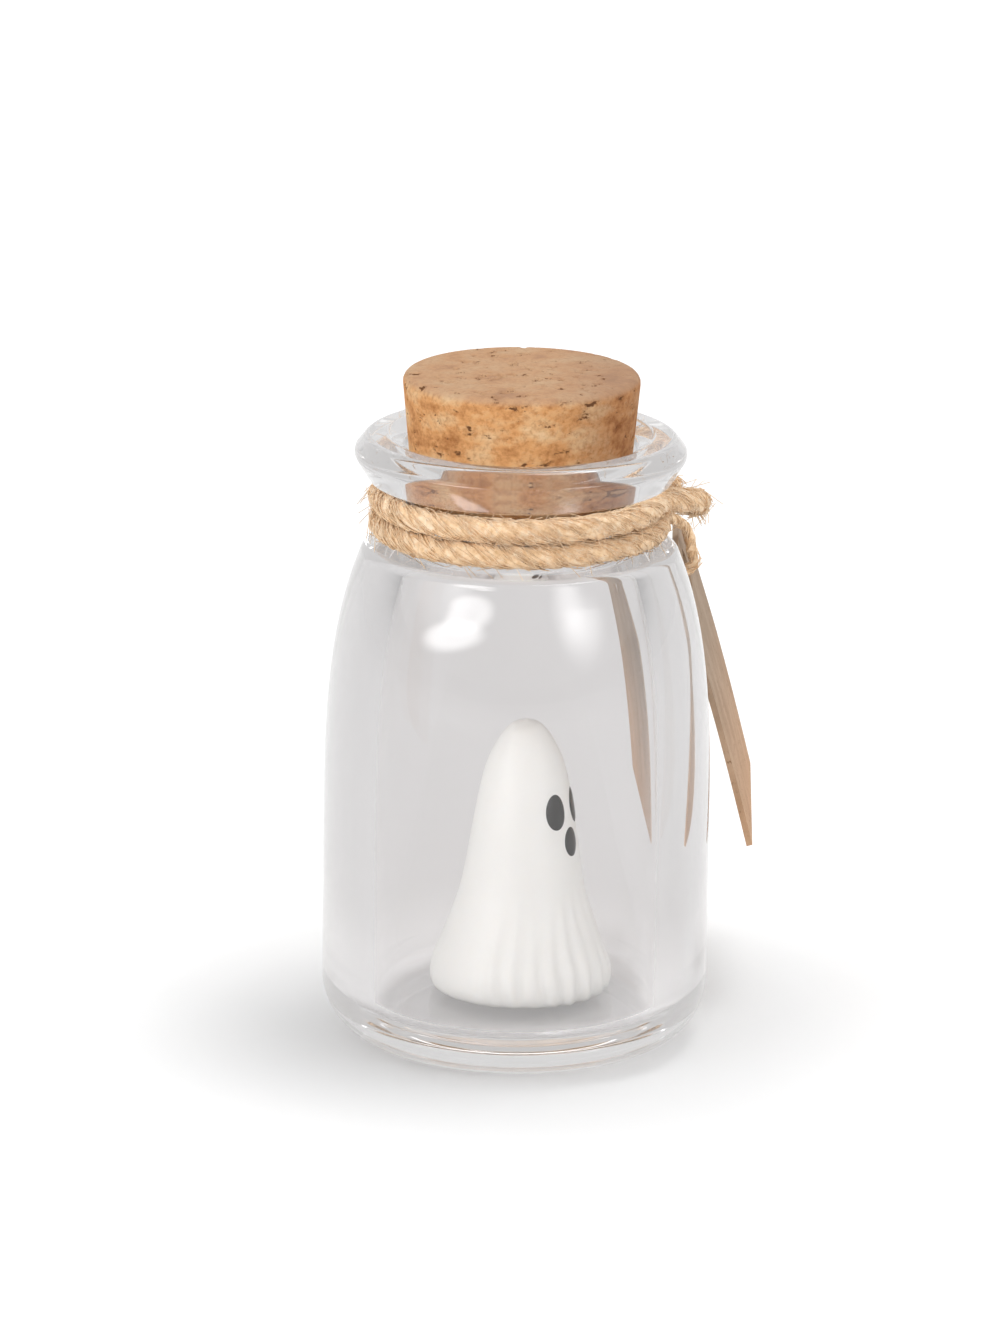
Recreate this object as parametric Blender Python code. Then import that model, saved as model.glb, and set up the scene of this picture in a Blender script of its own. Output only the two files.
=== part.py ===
"""Corked glass bottle with a loose glazed ghost inside and a card tag tied on with jute twine.

The origin is the centre of the flat base, on the bottle's axis, with +Z up. The tag hangs at +X.
"""
import math

import bmesh
import bpy
from mathutils import Matrix, Vector

MM = 0.001
DEGREE = math.pi / 180.0
FULL_TURN = 2.0 * math.pi

# Shared clearances
GAP = 0.3 * MM
STRAND_GAP = 0.5 * MM

# Glass bottle
BODY_RADIUS = 16.0 * MM
BODY_WALL = 4.3 * MM
SHOULDER_WALL = 1.4 * MM
HEEL_RADIUS = 5.0 * MM
STRAIGHT_HEIGHT = 12.0 * MM
SHOULDER_HEIGHT = 42.0 * MM
SHOULDER_DRAW = 3.2 * MM
SHOULDER_EXPONENT = 4
SHOULDER_CORNER = 1.1 * MM
NECK_RADIUS = 9.95 * MM
NECK_HEIGHT = 5.4 * MM
NECK_WALL = 0.9 * MM
NECK_FILLET = 0.5 * MM
LIP_FOOT_OVERHANG = 2.45 * MM
LIP_OVERHANG = 3.85 * MM
LIP_CROWN_OVERHANG = 2.65 * MM
LIP_FLARE_HEIGHT = 2.3 * MM
LIP_CROWN_HEIGHT = 1.4 * MM
LIP_FOOT_FILLET = 0.4 * MM
LIP_FILLET = 0.9 * MM
FUNNEL_WIDTH = 1.4 * MM
MOUTH_FLARE = 0.45 * MM
MOUTH_DROP = 0.8 * MM
MOUTH_ROUND = 0.4 * MM
FLOOR_THICKNESS = 3.4 * MM
INNER_HEEL_RADIUS = 1.4 * MM
SIDE_ROWS = 6
ARC_STEPS = 4
GLASS_SEGMENTS = 56

# Cork stopper
CORK_STANDING = 5.9 * MM
CORK_SUNK = 6.3 * MM
CORK_TAPER = 5.3 * DEGREE
CORK_EDGE = 0.7 * MM

# Ghost figurine
GHOST_HEIGHT = 22.5 * MM
GHOST_RADIUS = 7.8 * MM
GHOST_BACK_GAP = 0.8 * MM
GHOST_AZIMUTH = 80.0 * DEGREE
GHOST_FACING = -30.0 * DEGREE
GHOST_PLEATS = 14
GHOST_PLEAT_DEPTH = 0.25 * MM
GHOST_PROFILE_SHARES = (
    (0.0, 0.925), (0.015, 0.98), (0.05, 1.0), (0.105, 0.972), (0.16, 0.905), (0.255, 0.8),
    (0.365, 0.692), (0.48, 0.625), (0.6, 0.57), (0.7, 0.52), (0.79, 0.465), (0.86, 0.4),
    (0.915, 0.32), (0.955, 0.24), (0.985, 0.14),
)
PLEAT_TOP_SHARE = 0.5
PLEAT_FADE = 1.5
POINTS_PER_PLEAT = 6
SPOT_THICKNESS = 0.35 * MM
SPOT_DOME_SHARE = 0.6
SPOT_RING_SHARES = (0.55, 1.0)
SPOT_SIDES = 16
EYE_WIDTH = 2.0 * MM
EYE_HEIGHT = 2.9 * MM
EYE_LEVEL = 15.9 * MM
EYE_SPREAD = 21.0 * DEGREE
MOUTH_WIDTH = 1.9 * MM
MOUTH_HEIGHT = 2.4 * MM
MOUTH_LEVEL = 13.2 * MM

# Jute twine
TWINE_DIAMETER = 1.95 * MM
TWINE_TURNS = 2
LOOP_POINTS = 24
KNOT_AZIMUTH = 40.0 * DEGREE
KNOT_RADIUS = 2.0 * MM
KNOT_LENGTH = 4.0 * MM
KNOT_GROOVE = 0.35 * MM
KNOT_DROP = 0.8 * MM
KNOT_TAPER_SHARE = 0.12
KNOT_WRAPS = 3
ROWS_PER_WRAP = 4
KNOT_SEGMENTS = 20
LEAD_ANGLE = 48.0 * DEGREE
TAIL_LENGTH = 1.7 * MM
TAIL_SPREAD = 22.0 * DEGREE
UPPER_TAIL_RISE = 36.0 * DEGREE
LOWER_TAIL_RISE = 14.0 * DEGREE
TAIL_RADII_SHARES = (0.66, 0.8, 0.86, 0.72)

# Card tag and its tie
TAG_WIDTH = 20.0 * MM
TAG_THICKNESS = 0.5 * MM
TAG_CLIP = 5.5 * MM
TAG_BELOW_HOLE = 21.8 * MM
TAG_ABOVE_HOLE = 3.0 * MM
TAG_HOLE_RADIUS = 1.7 * MM
TAG_TILT = 3.7 * DEGREE
TAG_TURN = 2.2 * DEGREE
TAG_HOLE_SHIFT = 4.9 * MM
TAG_STANDOFF = 0.4 * MM
STEEPEST_LEAN = 80.0 * DEGREE
LEAN_HALVINGS = 30
EDGE_SAMPLES = 24
TIE_DIAMETER = 0.9 * MM
TIE_LENGTH = 6.4 * MM
TIE_ALONG_KNOT = 1.4 * MM
TIE_OUTWARD = 1.5 * MM
TIE_SPACING = 1.35 * MM
HOLE_SEGMENTS = 16

# Shading: edges sharper than these stay crisp
GLASS_CREASE = 40.0 * DEGREE
GHOST_CREASE = 60.0 * DEGREE
SPOT_CREASE = 50.0 * DEGREE


def clear_scene():
    """Remove whatever the file holds."""
    for item in list(bpy.data.objects):
        bpy.data.objects.remove(item, do_unlink=True)


def make_material(name, colour, roughness, transmission=0.0):
    """A plain surface of one colour, given in linear values."""
    material = bpy.data.materials.new(name)
    material.use_nodes = True
    shader = material.node_tree.nodes["Principled BSDF"]
    shader.inputs["Base Color"].default_value = (*colour, 1.0)
    shader.inputs["Roughness"].default_value = roughness
    shader.inputs["Metallic"].default_value = 0.0
    shader.inputs["Transmission Weight"].default_value = transmission
    material.diffuse_color = (*colour, 1.0)
    return material


def link_mesh(name, shape, material, smooth_angle=None):
    """Turn a bmesh into a linked object with its own material."""
    bmesh.ops.recalc_face_normals(shape, faces=shape.faces)
    mesh = bpy.data.meshes.new(name)
    shape.to_mesh(mesh)
    shape.free()
    mesh.materials.append(material)
    if smooth_angle is not None:
        mesh.shade_smooth()
        mesh.set_sharp_from_angle(angle=smooth_angle)
    item = bpy.data.objects.new(name, mesh)
    bpy.context.scene.collection.objects.link(item)
    return item


def rounded_outline(corners):
    """Replace each corner (across, up, fillet) by an arc that touches both of its sides."""
    steps = ARC_STEPS
    outline = []
    for index, (across, up, fillet) in enumerate(corners):
        here = Vector((across, up))
        if fillet == 0 or index in (0, len(corners) - 1):
            outline.append(here)
            continue
        before = Vector(corners[index - 1][:2]) - here
        after = Vector(corners[index + 1][:2]) - here
        half = before.angle(after) / 2.0
        reach = fillet / math.tan(half)
        start = here + before.normalized() * reach
        end = here + after.normalized() * reach
        centre = here + (before.normalized() + after.normalized()).normalized() * (fillet / math.sin(half))
        first = start - centre
        turn = first.angle_signed(end - centre)
        for step in range(steps + 1):
            spin = Matrix.Rotation(-turn * step / steps, 2)
            outline.append(centre + spin @ first)
    return outline


def lathe(name, outline, material, segments):
    """Spin an outline (across, up) about Z. It starts and ends on the axis."""
    shape = bmesh.new()
    rings = []
    for across, up in outline[1:-1]:
        ring = []
        for index in range(segments):
            angle = FULL_TURN * index / segments
            ring.append(shape.verts.new((across * math.cos(angle), across * math.sin(angle), up)))
        rings.append(ring)
    for lower, upper in zip(rings, rings[1:]):
        for index in range(segments):
            following = (index + 1) % segments
            shape.faces.new((lower[index], lower[following], upper[following], upper[index]))
    for ring, (_, up) in ((rings[0], outline[0]), (rings[-1], outline[-1])):
        pole = shape.verts.new((0.0, 0.0, up))
        for index in range(segments):
            shape.faces.new((ring[index], ring[(index + 1) % segments], pole))
    return link_mesh(name, shape, material, GLASS_CREASE)


def tube(name, points, radius, material, radii_shares=None):
    """A closed tube along a list of points, with flat ends."""
    curve = bpy.data.curves.new(name, "CURVE")
    curve.dimensions = "3D"
    curve.bevel_depth = radius
    curve.bevel_resolution = 1
    curve.use_fill_caps = True
    spline = curve.splines.new("POLY")
    spline.points.add(len(points) - 1)
    for index, place in enumerate(points):
        spline.points[index].co = (*place, 1.0)
        if radii_shares:
            spline.points[index].radius = radii_shares[index]
    curve.materials.append(material)
    item = bpy.data.objects.new(name, curve)
    bpy.context.scene.collection.objects.link(item)
    return item


def drawn_side(radius, draw, top, last_share):
    """Corners of a side that is straight at first and draws in steadily more towards its top."""
    corners = []
    for row in range(SIDE_ROWS + 1):
        share = math.sin(math.pi / 2.0 * row / SIDE_ROWS) * last_share
        height = STRAIGHT_HEIGHT + (top - STRAIGHT_HEIGHT) * share
        corners.append((radius - draw * share ** SHOULDER_EXPONENT, height, 0.0))
    return corners


def outer_radius(height):
    """Outer radius of the body at a height."""
    share = max(0.0, (height - STRAIGHT_HEIGHT) / (SHOULDER_HEIGHT - STRAIGHT_HEIGHT))
    return BODY_RADIUS - SHOULDER_DRAW * min(share, 1.0) ** SHOULDER_EXPONENT


def bottle_height():
    """Height of the rim: body, neck and lip."""
    return SHOULDER_HEIGHT + NECK_HEIGHT + LIP_FLARE_HEIGHT + LIP_CROWN_HEIGHT


def mouth_height():
    """Height of the edge where the lip's funnel meets the bore."""
    return bottle_height() - MOUTH_DROP


def bore_radius():
    """Radius of the hole through the neck, below the seat of the cork."""
    return NECK_RADIUS - NECK_WALL


def mouth_radius():
    """Radius of the bore at the mouth's edge, where the seat of the cork has widened it."""
    return bore_radius() + MOUTH_FLARE


def make_bottle(material):
    """Thick-based body, drawn-in shoulder, short neck and flared lip, all one wall."""
    under_lip = SHOULDER_HEIGHT + NECK_HEIGHT
    widest = under_lip + LIP_FLARE_HEIGHT
    rim = bottle_height()
    seat_depth = MOUTH_FLARE / math.tan(CORK_TAPER)
    corner_share = 1.0 - 2.0 * SHOULDER_CORNER / (SHOULDER_HEIGHT - STRAIGHT_HEIGHT)
    corners = [(0.0, 0.0, 0.0), (BODY_RADIUS, 0.0, HEEL_RADIUS)]
    corners += drawn_side(BODY_RADIUS, SHOULDER_DRAW, SHOULDER_HEIGHT, corner_share)
    corners += [
        (BODY_RADIUS - SHOULDER_DRAW, SHOULDER_HEIGHT, SHOULDER_CORNER),
        (NECK_RADIUS, SHOULDER_HEIGHT, NECK_FILLET),
        (NECK_RADIUS, under_lip, NECK_FILLET),
        (NECK_RADIUS + LIP_FOOT_OVERHANG, under_lip, LIP_FOOT_FILLET),
        (NECK_RADIUS + LIP_OVERHANG, widest, LIP_FILLET),
        (NECK_RADIUS + LIP_CROWN_OVERHANG, rim, LIP_FILLET),
        (mouth_radius() + FUNNEL_WIDTH, rim, LIP_FILLET),
        (mouth_radius(), mouth_height(), MOUTH_ROUND),
        (bore_radius(), mouth_height() - seat_depth, 0.0),
    ]
    cavity_radius = BODY_RADIUS - BODY_WALL
    cavity_top = SHOULDER_HEIGHT - SHOULDER_WALL
    corners += reversed(drawn_side(cavity_radius, cavity_radius - bore_radius(), cavity_top, 1.0))
    corners += [
        (cavity_radius, FLOOR_THICKNESS, INNER_HEEL_RADIUS),
        (0.0, FLOOR_THICKNESS, 0.0),
    ]
    return lathe("glass_bottle", rounded_outline(corners), material, GLASS_SEGMENTS)


def cork_radius(height):
    """Radius of the tapered cork, which fits the seat and the mouth's edge."""
    return mouth_radius() - GAP + (height - mouth_height()) * math.tan(CORK_TAPER)


def make_cork(material):
    """Tapered stopper, its origin on the bore's axis at the mouth's edge."""
    low = mouth_height() - CORK_SUNK
    high = mouth_height() + CORK_STANDING
    corners = [
        (0.0, -CORK_SUNK, 0.0),
        (cork_radius(low), -CORK_SUNK, CORK_EDGE),
        (cork_radius(high), CORK_STANDING, CORK_EDGE),
        (0.0, CORK_STANDING, 0.0),
    ]
    cork = lathe("cork_stopper", rounded_outline(corners), material, GLASS_SEGMENTS)
    cork.location = (0.0, 0.0, mouth_height())
    return cork


def ghost_radius(height, angle):
    """Radius of the draped figure at a height above its hem; the pleats fade out upwards."""
    share = height / GHOST_HEIGHT
    table = GHOST_PROFILE_SHARES
    for (low, start), (high, end) in zip(table, table[1:]):
        if share <= high:
            break
    part = min(max((share - low) / (high - low), 0.0), 1.0)
    radius = (start + (end - start) * part) * GHOST_RADIUS
    fade = max(0.0, 1.0 - share / PLEAT_TOP_SHARE) ** PLEAT_FADE
    return radius + GHOST_PLEAT_DEPTH * fade * math.cos(GHOST_PLEATS * angle)


def make_ghost(material, stand):
    """Draped figure with a round head and a pleated, flared hem."""
    columns = GHOST_PLEATS * POINTS_PER_PLEAT
    shape = bmesh.new()
    rings = []
    for share, _ in GHOST_PROFILE_SHARES:
        height = share * GHOST_HEIGHT
        ring = []
        for column in range(columns):
            angle = FULL_TURN * column / columns
            radius = ghost_radius(height, angle)
            ring.append(shape.verts.new((radius * math.cos(angle), radius * math.sin(angle), height)))
        rings.append(ring)
    for lower, upper in zip(rings, rings[1:]):
        for column in range(columns):
            following = (column + 1) % columns
            shape.faces.new((lower[column], lower[following], upper[following], upper[column]))
    for ring, height in ((rings[0], 0.0), (rings[-1], GHOST_HEIGHT)):
        pole = shape.verts.new((0.0, 0.0, height))
        for column in range(columns):
            shape.faces.new((ring[column], ring[(column + 1) % columns], pole))
    ghost = link_mesh("ghost_figurine", shape, material, GHOST_CREASE)
    ghost.parent = stand
    return ghost


def make_spot(name, width, height, level, azimuth, material, stand):
    """Raised oval of enamel that follows the face, a gap off its surface."""
    sides = SPOT_SIDES
    shape = bmesh.new()

    def place(across, up, lift):
        around = azimuth + across / ghost_radius(level, 0.0)
        radius = ghost_radius(level + up, around) + lift
        return radius * math.cos(around), radius * math.sin(around), level + up

    skins = []
    for front in (False, True):
        lift = GAP + (SPOT_THICKNESS if front else 0.0)
        centre = shape.verts.new(place(0.0, 0.0, lift))
        rings = []
        for share in SPOT_RING_SHARES:
            drop = SPOT_THICKNESS * SPOT_DOME_SHARE * share ** 4 if front else 0.0
            ring = []
            for side in range(sides):
                angle = FULL_TURN * side / sides
                across = width / 2.0 * share * math.cos(angle)
                up = height / 2.0 * share * math.sin(angle)
                ring.append(shape.verts.new(place(across, up, lift - drop)))
            rings.append(ring)
        for side in range(sides):
            following = (side + 1) % sides
            shape.faces.new((centre, rings[0][side], rings[0][following]))
            shape.faces.new((rings[0][side], rings[1][side], rings[1][following], rings[0][following]))
        skins.append(rings[-1])
    for side in range(sides):
        following = (side + 1) % sides
        shape.faces.new((skins[0][side], skins[0][following], skins[1][following], skins[1][side]))
    spot = link_mesh(name, shape, material, SPOT_CREASE)
    spot.parent = stand
    return spot


def smooth_step(share):
    """Ease from 0 to 1."""
    share = min(max(share, 0.0), 1.0)
    return share * share * (3.0 - 2.0 * share)


def winding_radius():
    """Radius of the twine's centre line; its straight steps keep their gap to the neck."""
    return (NECK_RADIUS + GAP + TWINE_DIAMETER / 2.0) / math.cos(math.pi / LOOP_POINTS)


def winding_level():
    """Middle height of the two turns, which rest on the shoulder."""
    return SHOULDER_HEIGHT + GAP + TWINE_DIAMETER / 2.0 + winding_pitch() / 2.0


def winding_pitch():
    """Height from one turn to the next."""
    return TWINE_DIAMETER + STRAND_GAP


def knot_radius_from_axis():
    """Distance of the knot's middle from the bottle's axis: it lies outside the turn behind it."""
    return winding_radius() + TWINE_DIAMETER / 2.0 + GAP + KNOT_RADIUS + STRAND_GAP / 2.0


def knot_frame():
    """The knot's place, with +X along the twine's tangent and +Y outwards."""
    outward = Vector((math.cos(KNOT_AZIMUTH), math.sin(KNOT_AZIMUTH), 0.0))
    along = Vector((-outward.y, outward.x, 0.0))
    centre = outward * knot_radius_from_axis()
    centre.z = winding_level() - KNOT_DROP
    return centre, along, outward


def winding_points():
    """One unbroken strand: two level turns that change level behind the knot, and two ends that
    leave the turns, pass over the strand behind and run straight into the knot's two sides."""
    centre, along, _ = knot_frame()
    level = winding_level()
    pitch = winding_pitch()
    radius = winding_radius()
    reach = KNOT_LENGTH / 2.0 + GAP
    straight = TWINE_DIAMETER
    end_angle = math.atan2(reach + straight, knot_radius_from_axis())
    end_radius = math.hypot(reach + straight, knot_radius_from_axis())
    rise = end_radius - radius
    total = FULL_TURN * TWINE_TURNS
    steps = LOOP_POINTS * TWINE_TURNS + 4
    points = []
    for step in range(steps + 1):
        swept = end_angle + (total - 2.0 * end_angle) * step / steps
        from_start = swept
        from_end = total - swept
        climb = smooth_step(0.5 + (swept - total / 2.0) / (2.0 * LEAD_ANGLE))
        height = level - pitch / 2.0 + pitch * climb
        out = radius
        for distance, side in ((from_start, -1.0), (from_end, 1.0)):
            if distance < LEAD_ANGLE:
                share = (LEAD_ANGLE - distance) / (LEAD_ANGLE - end_angle)
                swing = math.pi / 2.0 * smooth_step(share)
                out = radius + rise * math.sin(swing)
                edge = level + side * pitch / 2.0
                height = edge + (centre.z - edge) * (1.0 - math.cos(swing))
        azimuth = KNOT_AZIMUTH + swept
        points.append(Vector((out * math.cos(azimuth), out * math.sin(azimuth), height)))
    entry = centre + along * reach
    leaving = centre - along * reach
    return [entry, entry + along * straight] + points[1:-1] + [leaving - along * straight, leaving]


def least_self_gap(points, diameter):
    """Least clear distance between stretches of the strand that aren't next to each other."""
    least = None
    along = [0.0]
    for before, here in zip(points, points[1:]):
        along.append(along[-1] + (here - before).length)
    for first in range(len(points) - 1):
        for second in range(first + 1, len(points) - 1):
            if along[second] - along[first + 1] < 3.0 * diameter:
                continue
            for share in (0.0, 0.25, 0.5, 0.75):
                spot = points[first].lerp(points[first + 1], share)
                start = points[second]
                run = points[second + 1] - start
                reach = min(max((spot - start).dot(run) / run.length_squared, 0.0), 1.0)
                distance = (spot - start - run * reach).length - diameter
                if least is None or distance < least:
                    least = distance
    return least


def make_winding(material):
    """The twine's two turns round the neck."""
    points = winding_points()
    print("twine_winding least gap to itself: %.2f mm" % (least_self_gap(points, TWINE_DIAMETER) / MM))
    return tube("twine_winding", points, TWINE_DIAMETER / 2.0, material)


def make_knot(material):
    """Tight barrel of three wraps that the winding's ends run into."""
    centre, along, outward = knot_frame()
    half = KNOT_LENGTH / 2.0
    rows = KNOT_WRAPS * ROWS_PER_WRAP
    outline = [(0.0, -half)]
    for row in range(rows + 1):
        share = row / rows
        groove = KNOT_GROOVE * abs(math.cos(math.pi * KNOT_WRAPS * share)) ** 3
        belly = KNOT_RADIUS * (1.0 - KNOT_TAPER_SHARE * (2.0 * share - 1.0) ** 2)
        outline.append((belly - groove, -half + KNOT_LENGTH * share))
    outline.append((0.0, half))
    knot = lathe("twine_knot", outline, material, KNOT_SEGMENTS)
    up = Vector((0.0, 0.0, 1.0))
    knot.matrix_world = Matrix.Translation(centre) @ Matrix((outward, up, along)).transposed().to_4x4()
    return knot


def make_tails(material):
    """Two short cut ends that leave the knot outwards, spread apart, the upper one rising more."""
    centre, along, outward = knot_frame()
    ends = (("twine_tail_upper", 1.0, UPPER_TAIL_RISE), ("twine_tail_lower", -1.0, LOWER_TAIL_RISE))
    steps = len(TAIL_RADII_SHARES) - 1
    for name, side, rise in ends:
        level = outward * math.cos(TAIL_SPREAD) + along * (side * math.sin(TAIL_SPREAD))
        heading = level * math.cos(rise)
        heading.z = math.sin(rise)
        start = centre + along * (side * TWINE_DIAMETER / 2.0) + heading * (KNOT_RADIUS + STRAND_GAP)
        points = [start + heading * (TAIL_LENGTH * step / steps) for step in range(steps + 1)]
        tube(name, points, TWINE_DIAMETER / 2.0, material, TAIL_RADII_SHARES)


def pivot_place():
    """Where the tie meets the underside of the knot."""
    centre, along, outward = knot_frame()
    place = centre + along * TIE_ALONG_KNOT + outward * TIE_OUTWARD
    knot_bottom = math.sqrt(KNOT_RADIUS ** 2 - TIE_OUTWARD ** 2)
    place.z = centre.z - knot_bottom - STRAND_GAP - TIE_DIAMETER / 2.0
    return place


def make_tag_pivot():
    """Empty on the axis about which the tag lifts, below the knot, turned to lie in the card."""
    pivot = bpy.data.objects.new("tag_pivot", None)
    pivot.location = pivot_place()
    pivot.rotation_euler = (0.0, -tag_lean(), -TAG_TURN)
    bpy.context.scene.collection.objects.link(pivot)
    return pivot


def tag_point(across, down, out=0.0):
    """A point in the pivot's frame, out from the card's middle; down is measured from the hole."""
    side = TAG_HOLE_SHIFT + across * math.cos(TAG_TILT) + down * math.sin(TAG_TILT)
    up = -TIE_LENGTH + across * math.sin(TAG_TILT) - down * math.cos(TAG_TILT)
    return Vector((TAG_STANDOFF + out, side, up))


def tag_outline():
    """Corners of the card (across, down), clockwise from its lower far corner."""
    half = TAG_WIDTH / 2.0
    above = -TAG_ABOVE_HOLE
    return [
        (half, TAG_BELOW_HOLE), (-half, TAG_BELOW_HOLE), (-half, above + TAG_CLIP),
        (-half + TAG_CLIP, above), (half - TAG_CLIP, above), (half, above + TAG_CLIP),
    ]


def card_clearance(lean):
    """Least distance from the card's back to the glass when it leans outwards by an angle."""
    turned = Matrix.Rotation(-TAG_TURN, 3, "Z") @ Matrix.Rotation(-lean, 3, "Y")
    start = pivot_place()
    outline = tag_outline()
    least = None
    for first, second in zip(outline, outline[1:] + outline[:1]):
        for sample in range(EDGE_SAMPLES):
            across, down = Vector(first).lerp(Vector(second), sample / EDGE_SAMPLES)
            spot = start + turned @ tag_point(across, down, -TAG_THICKNESS / 2.0)
            distance = math.hypot(spot.x, spot.y) - outer_radius(spot.z)
            if least is None or distance < least:
                least = distance
    return least


def tag_lean():
    """Angle at which the hanging card comes to rest a gap off the glass."""
    low = 0.0
    high = STEEPEST_LEAN
    for _ in range(LEAN_HALVINGS):
        middle = (low + high) / 2.0
        if card_clearance(middle) < GAP:
            low = middle
        else:
            high = middle
    return high


def make_tag(material, pivot):
    """Card with clipped upper corners and a punched hole."""
    outline = tag_outline()
    shape = bmesh.new()
    rim = [shape.verts.new(tag_point(across, down, -TAG_THICKNESS / 2.0)) for across, down in outline]
    hole = []
    for step in range(HOLE_SEGMENTS):
        angle = FULL_TURN * step / HOLE_SEGMENTS
        across = TAG_HOLE_RADIUS * math.cos(angle)
        down = TAG_HOLE_RADIUS * math.sin(angle)
        hole.append(shape.verts.new(tag_point(across, down, -TAG_THICKNESS / 2.0)))
    edges = []
    for loop in (rim, hole):
        for index, vert in enumerate(loop):
            edges.append(shape.edges.new((vert, loop[(index + 1) % len(loop)])))
    bmesh.ops.triangle_fill(shape, use_beauty=True, use_dissolve=False, edges=edges)
    raised = bmesh.ops.extrude_face_region(shape, geom=shape.faces[:])
    moved = [item for item in raised["geom"] if isinstance(item, bmesh.types.BMVert)]
    bmesh.ops.translate(shape, verts=moved, vec=Vector((TAG_THICKNESS, 0.0, 0.0)))
    tag = link_mesh("paper_tag", shape, material)
    tag.parent = pivot
    return tag


def make_tie(material, pivot):
    """Loop of thin twine from the knot, down behind the card, through its hole and up in front."""
    clear = TAG_THICKNESS / 2.0 + GAP + TIE_DIAMETER / 2.0
    behind = TAG_STANDOFF - clear
    ahead = TAG_STANDOFF + clear
    hole = tag_point(0.0, 0.0)
    head = tag_point(0.0, -TAG_ABOVE_HOLE)
    points = [
        Vector((0.0, -TIE_SPACING / 2.0, 0.0)),
        Vector((behind, head.y - TIE_SPACING / 4.0, head.z + TIE_DIAMETER / 2.0)),
        Vector((behind, (head.y + hole.y) / 2.0, (head.z + hole.z) / 2.0)),
        Vector((behind, hole.y, hole.z + TIE_DIAMETER / 2.0)),
        Vector((TAG_STANDOFF - clear / 2.0, hole.y, hole.z)),
        Vector((TAG_STANDOFF + clear / 2.0, hole.y, hole.z)),
        Vector((ahead, hole.y, hole.z + TIE_DIAMETER / 2.0)),
        Vector((ahead, (head.y + hole.y) / 2.0, (head.z + hole.z) / 2.0)),
        Vector((ahead, head.y + TIE_SPACING / 4.0, head.z + TIE_DIAMETER / 2.0)),
        Vector((0.0, TIE_SPACING / 2.0, 0.0)),
    ]
    tie = tube("tag_tie", points, TIE_DIAMETER / 2.0, material)
    tie.parent = pivot
    return tie


def make_ghost_stand():
    """Empty at the middle of the ghost's hem, near the back of the glass, turned to where it looks."""
    out = BODY_RADIUS - BODY_WALL - GHOST_RADIUS - GHOST_PLEAT_DEPTH - GHOST_BACK_GAP
    stand = bpy.data.objects.new("ghost_stand", None)
    stand.location = (out * math.cos(GHOST_AZIMUTH), out * math.sin(GHOST_AZIMUTH), FLOOR_THICKNESS + GAP)
    stand.rotation_euler = (0.0, 0.0, GHOST_FACING)
    bpy.context.scene.collection.objects.link(stand)
    return stand


def main():
    clear_scene()
    glass = make_material("clear_glass", (0.92, 0.94, 0.94), 0.02, 1.0)
    cork = make_material("natural_cork", (0.56, 0.33, 0.16), 0.85)
    glaze = make_material("white_glaze", (0.87, 0.85, 0.8), 0.15)
    enamel = make_material("dark_enamel", (0.03, 0.03, 0.035), 0.25)
    jute = make_material("jute_twine", (0.61, 0.45, 0.25), 0.9)
    card = make_material("kraft_card", (0.47, 0.32, 0.19), 0.85)
    make_bottle(glass)
    make_cork(cork)
    stand = make_ghost_stand()
    make_ghost(glaze, stand)
    make_spot("ghost_left_eye", EYE_WIDTH, EYE_HEIGHT, EYE_LEVEL, EYE_SPREAD, enamel, stand)
    make_spot("ghost_right_eye", EYE_WIDTH, EYE_HEIGHT, EYE_LEVEL, -EYE_SPREAD, enamel, stand)
    make_spot("ghost_mouth", MOUTH_WIDTH, MOUTH_HEIGHT, MOUTH_LEVEL, 0.0, enamel, stand)
    make_winding(jute)
    make_knot(jute)
    make_tails(jute)
    pivot = make_tag_pivot()
    make_tag(card, pivot)
    make_tie(jute, pivot)


main()
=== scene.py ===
"""Studio scene of a corked miniature bottle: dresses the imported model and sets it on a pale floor."""

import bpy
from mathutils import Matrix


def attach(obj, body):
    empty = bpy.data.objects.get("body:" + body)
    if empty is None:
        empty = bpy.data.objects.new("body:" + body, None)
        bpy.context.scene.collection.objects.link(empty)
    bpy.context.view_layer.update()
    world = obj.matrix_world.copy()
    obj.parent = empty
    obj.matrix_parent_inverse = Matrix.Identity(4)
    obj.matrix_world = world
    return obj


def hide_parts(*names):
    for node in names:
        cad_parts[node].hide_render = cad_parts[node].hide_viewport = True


bl_info = {
    "name": "Corked Bottle with Ghost",
    "version": (1, 0, 0),
    "blender": (4, 5, 0),
    "location": "3D View > Sidebar > Bottle",
    "description": "Makes the glass, cork, glazed ghost, jute twine and card tag round the packed model",
    "category": "Add Mesh",
}

import math
import random

import bmesh
import bpy
from bpy.props import FloatProperty, FloatVectorProperty, IntProperty, PointerProperty
from mathutils import Matrix, Vector

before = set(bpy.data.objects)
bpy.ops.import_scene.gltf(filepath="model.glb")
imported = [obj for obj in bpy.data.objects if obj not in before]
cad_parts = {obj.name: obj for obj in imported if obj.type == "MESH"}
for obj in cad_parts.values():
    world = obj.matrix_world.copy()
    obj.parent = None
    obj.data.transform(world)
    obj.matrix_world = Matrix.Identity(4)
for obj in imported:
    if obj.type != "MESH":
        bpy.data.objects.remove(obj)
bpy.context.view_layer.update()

MM = 0.001
DEGREE = math.pi / 180.0
FULL_TURN = 2.0 * math.pi
UP = Vector((0.0, 0.0, 1.0))
SMOOTH = {"interpolation_type": "SMOOTHSTEP"}

# Clearances of the solids
GAP = 0.3 * MM
STRAND_GAP = 0.5 * MM

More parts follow.
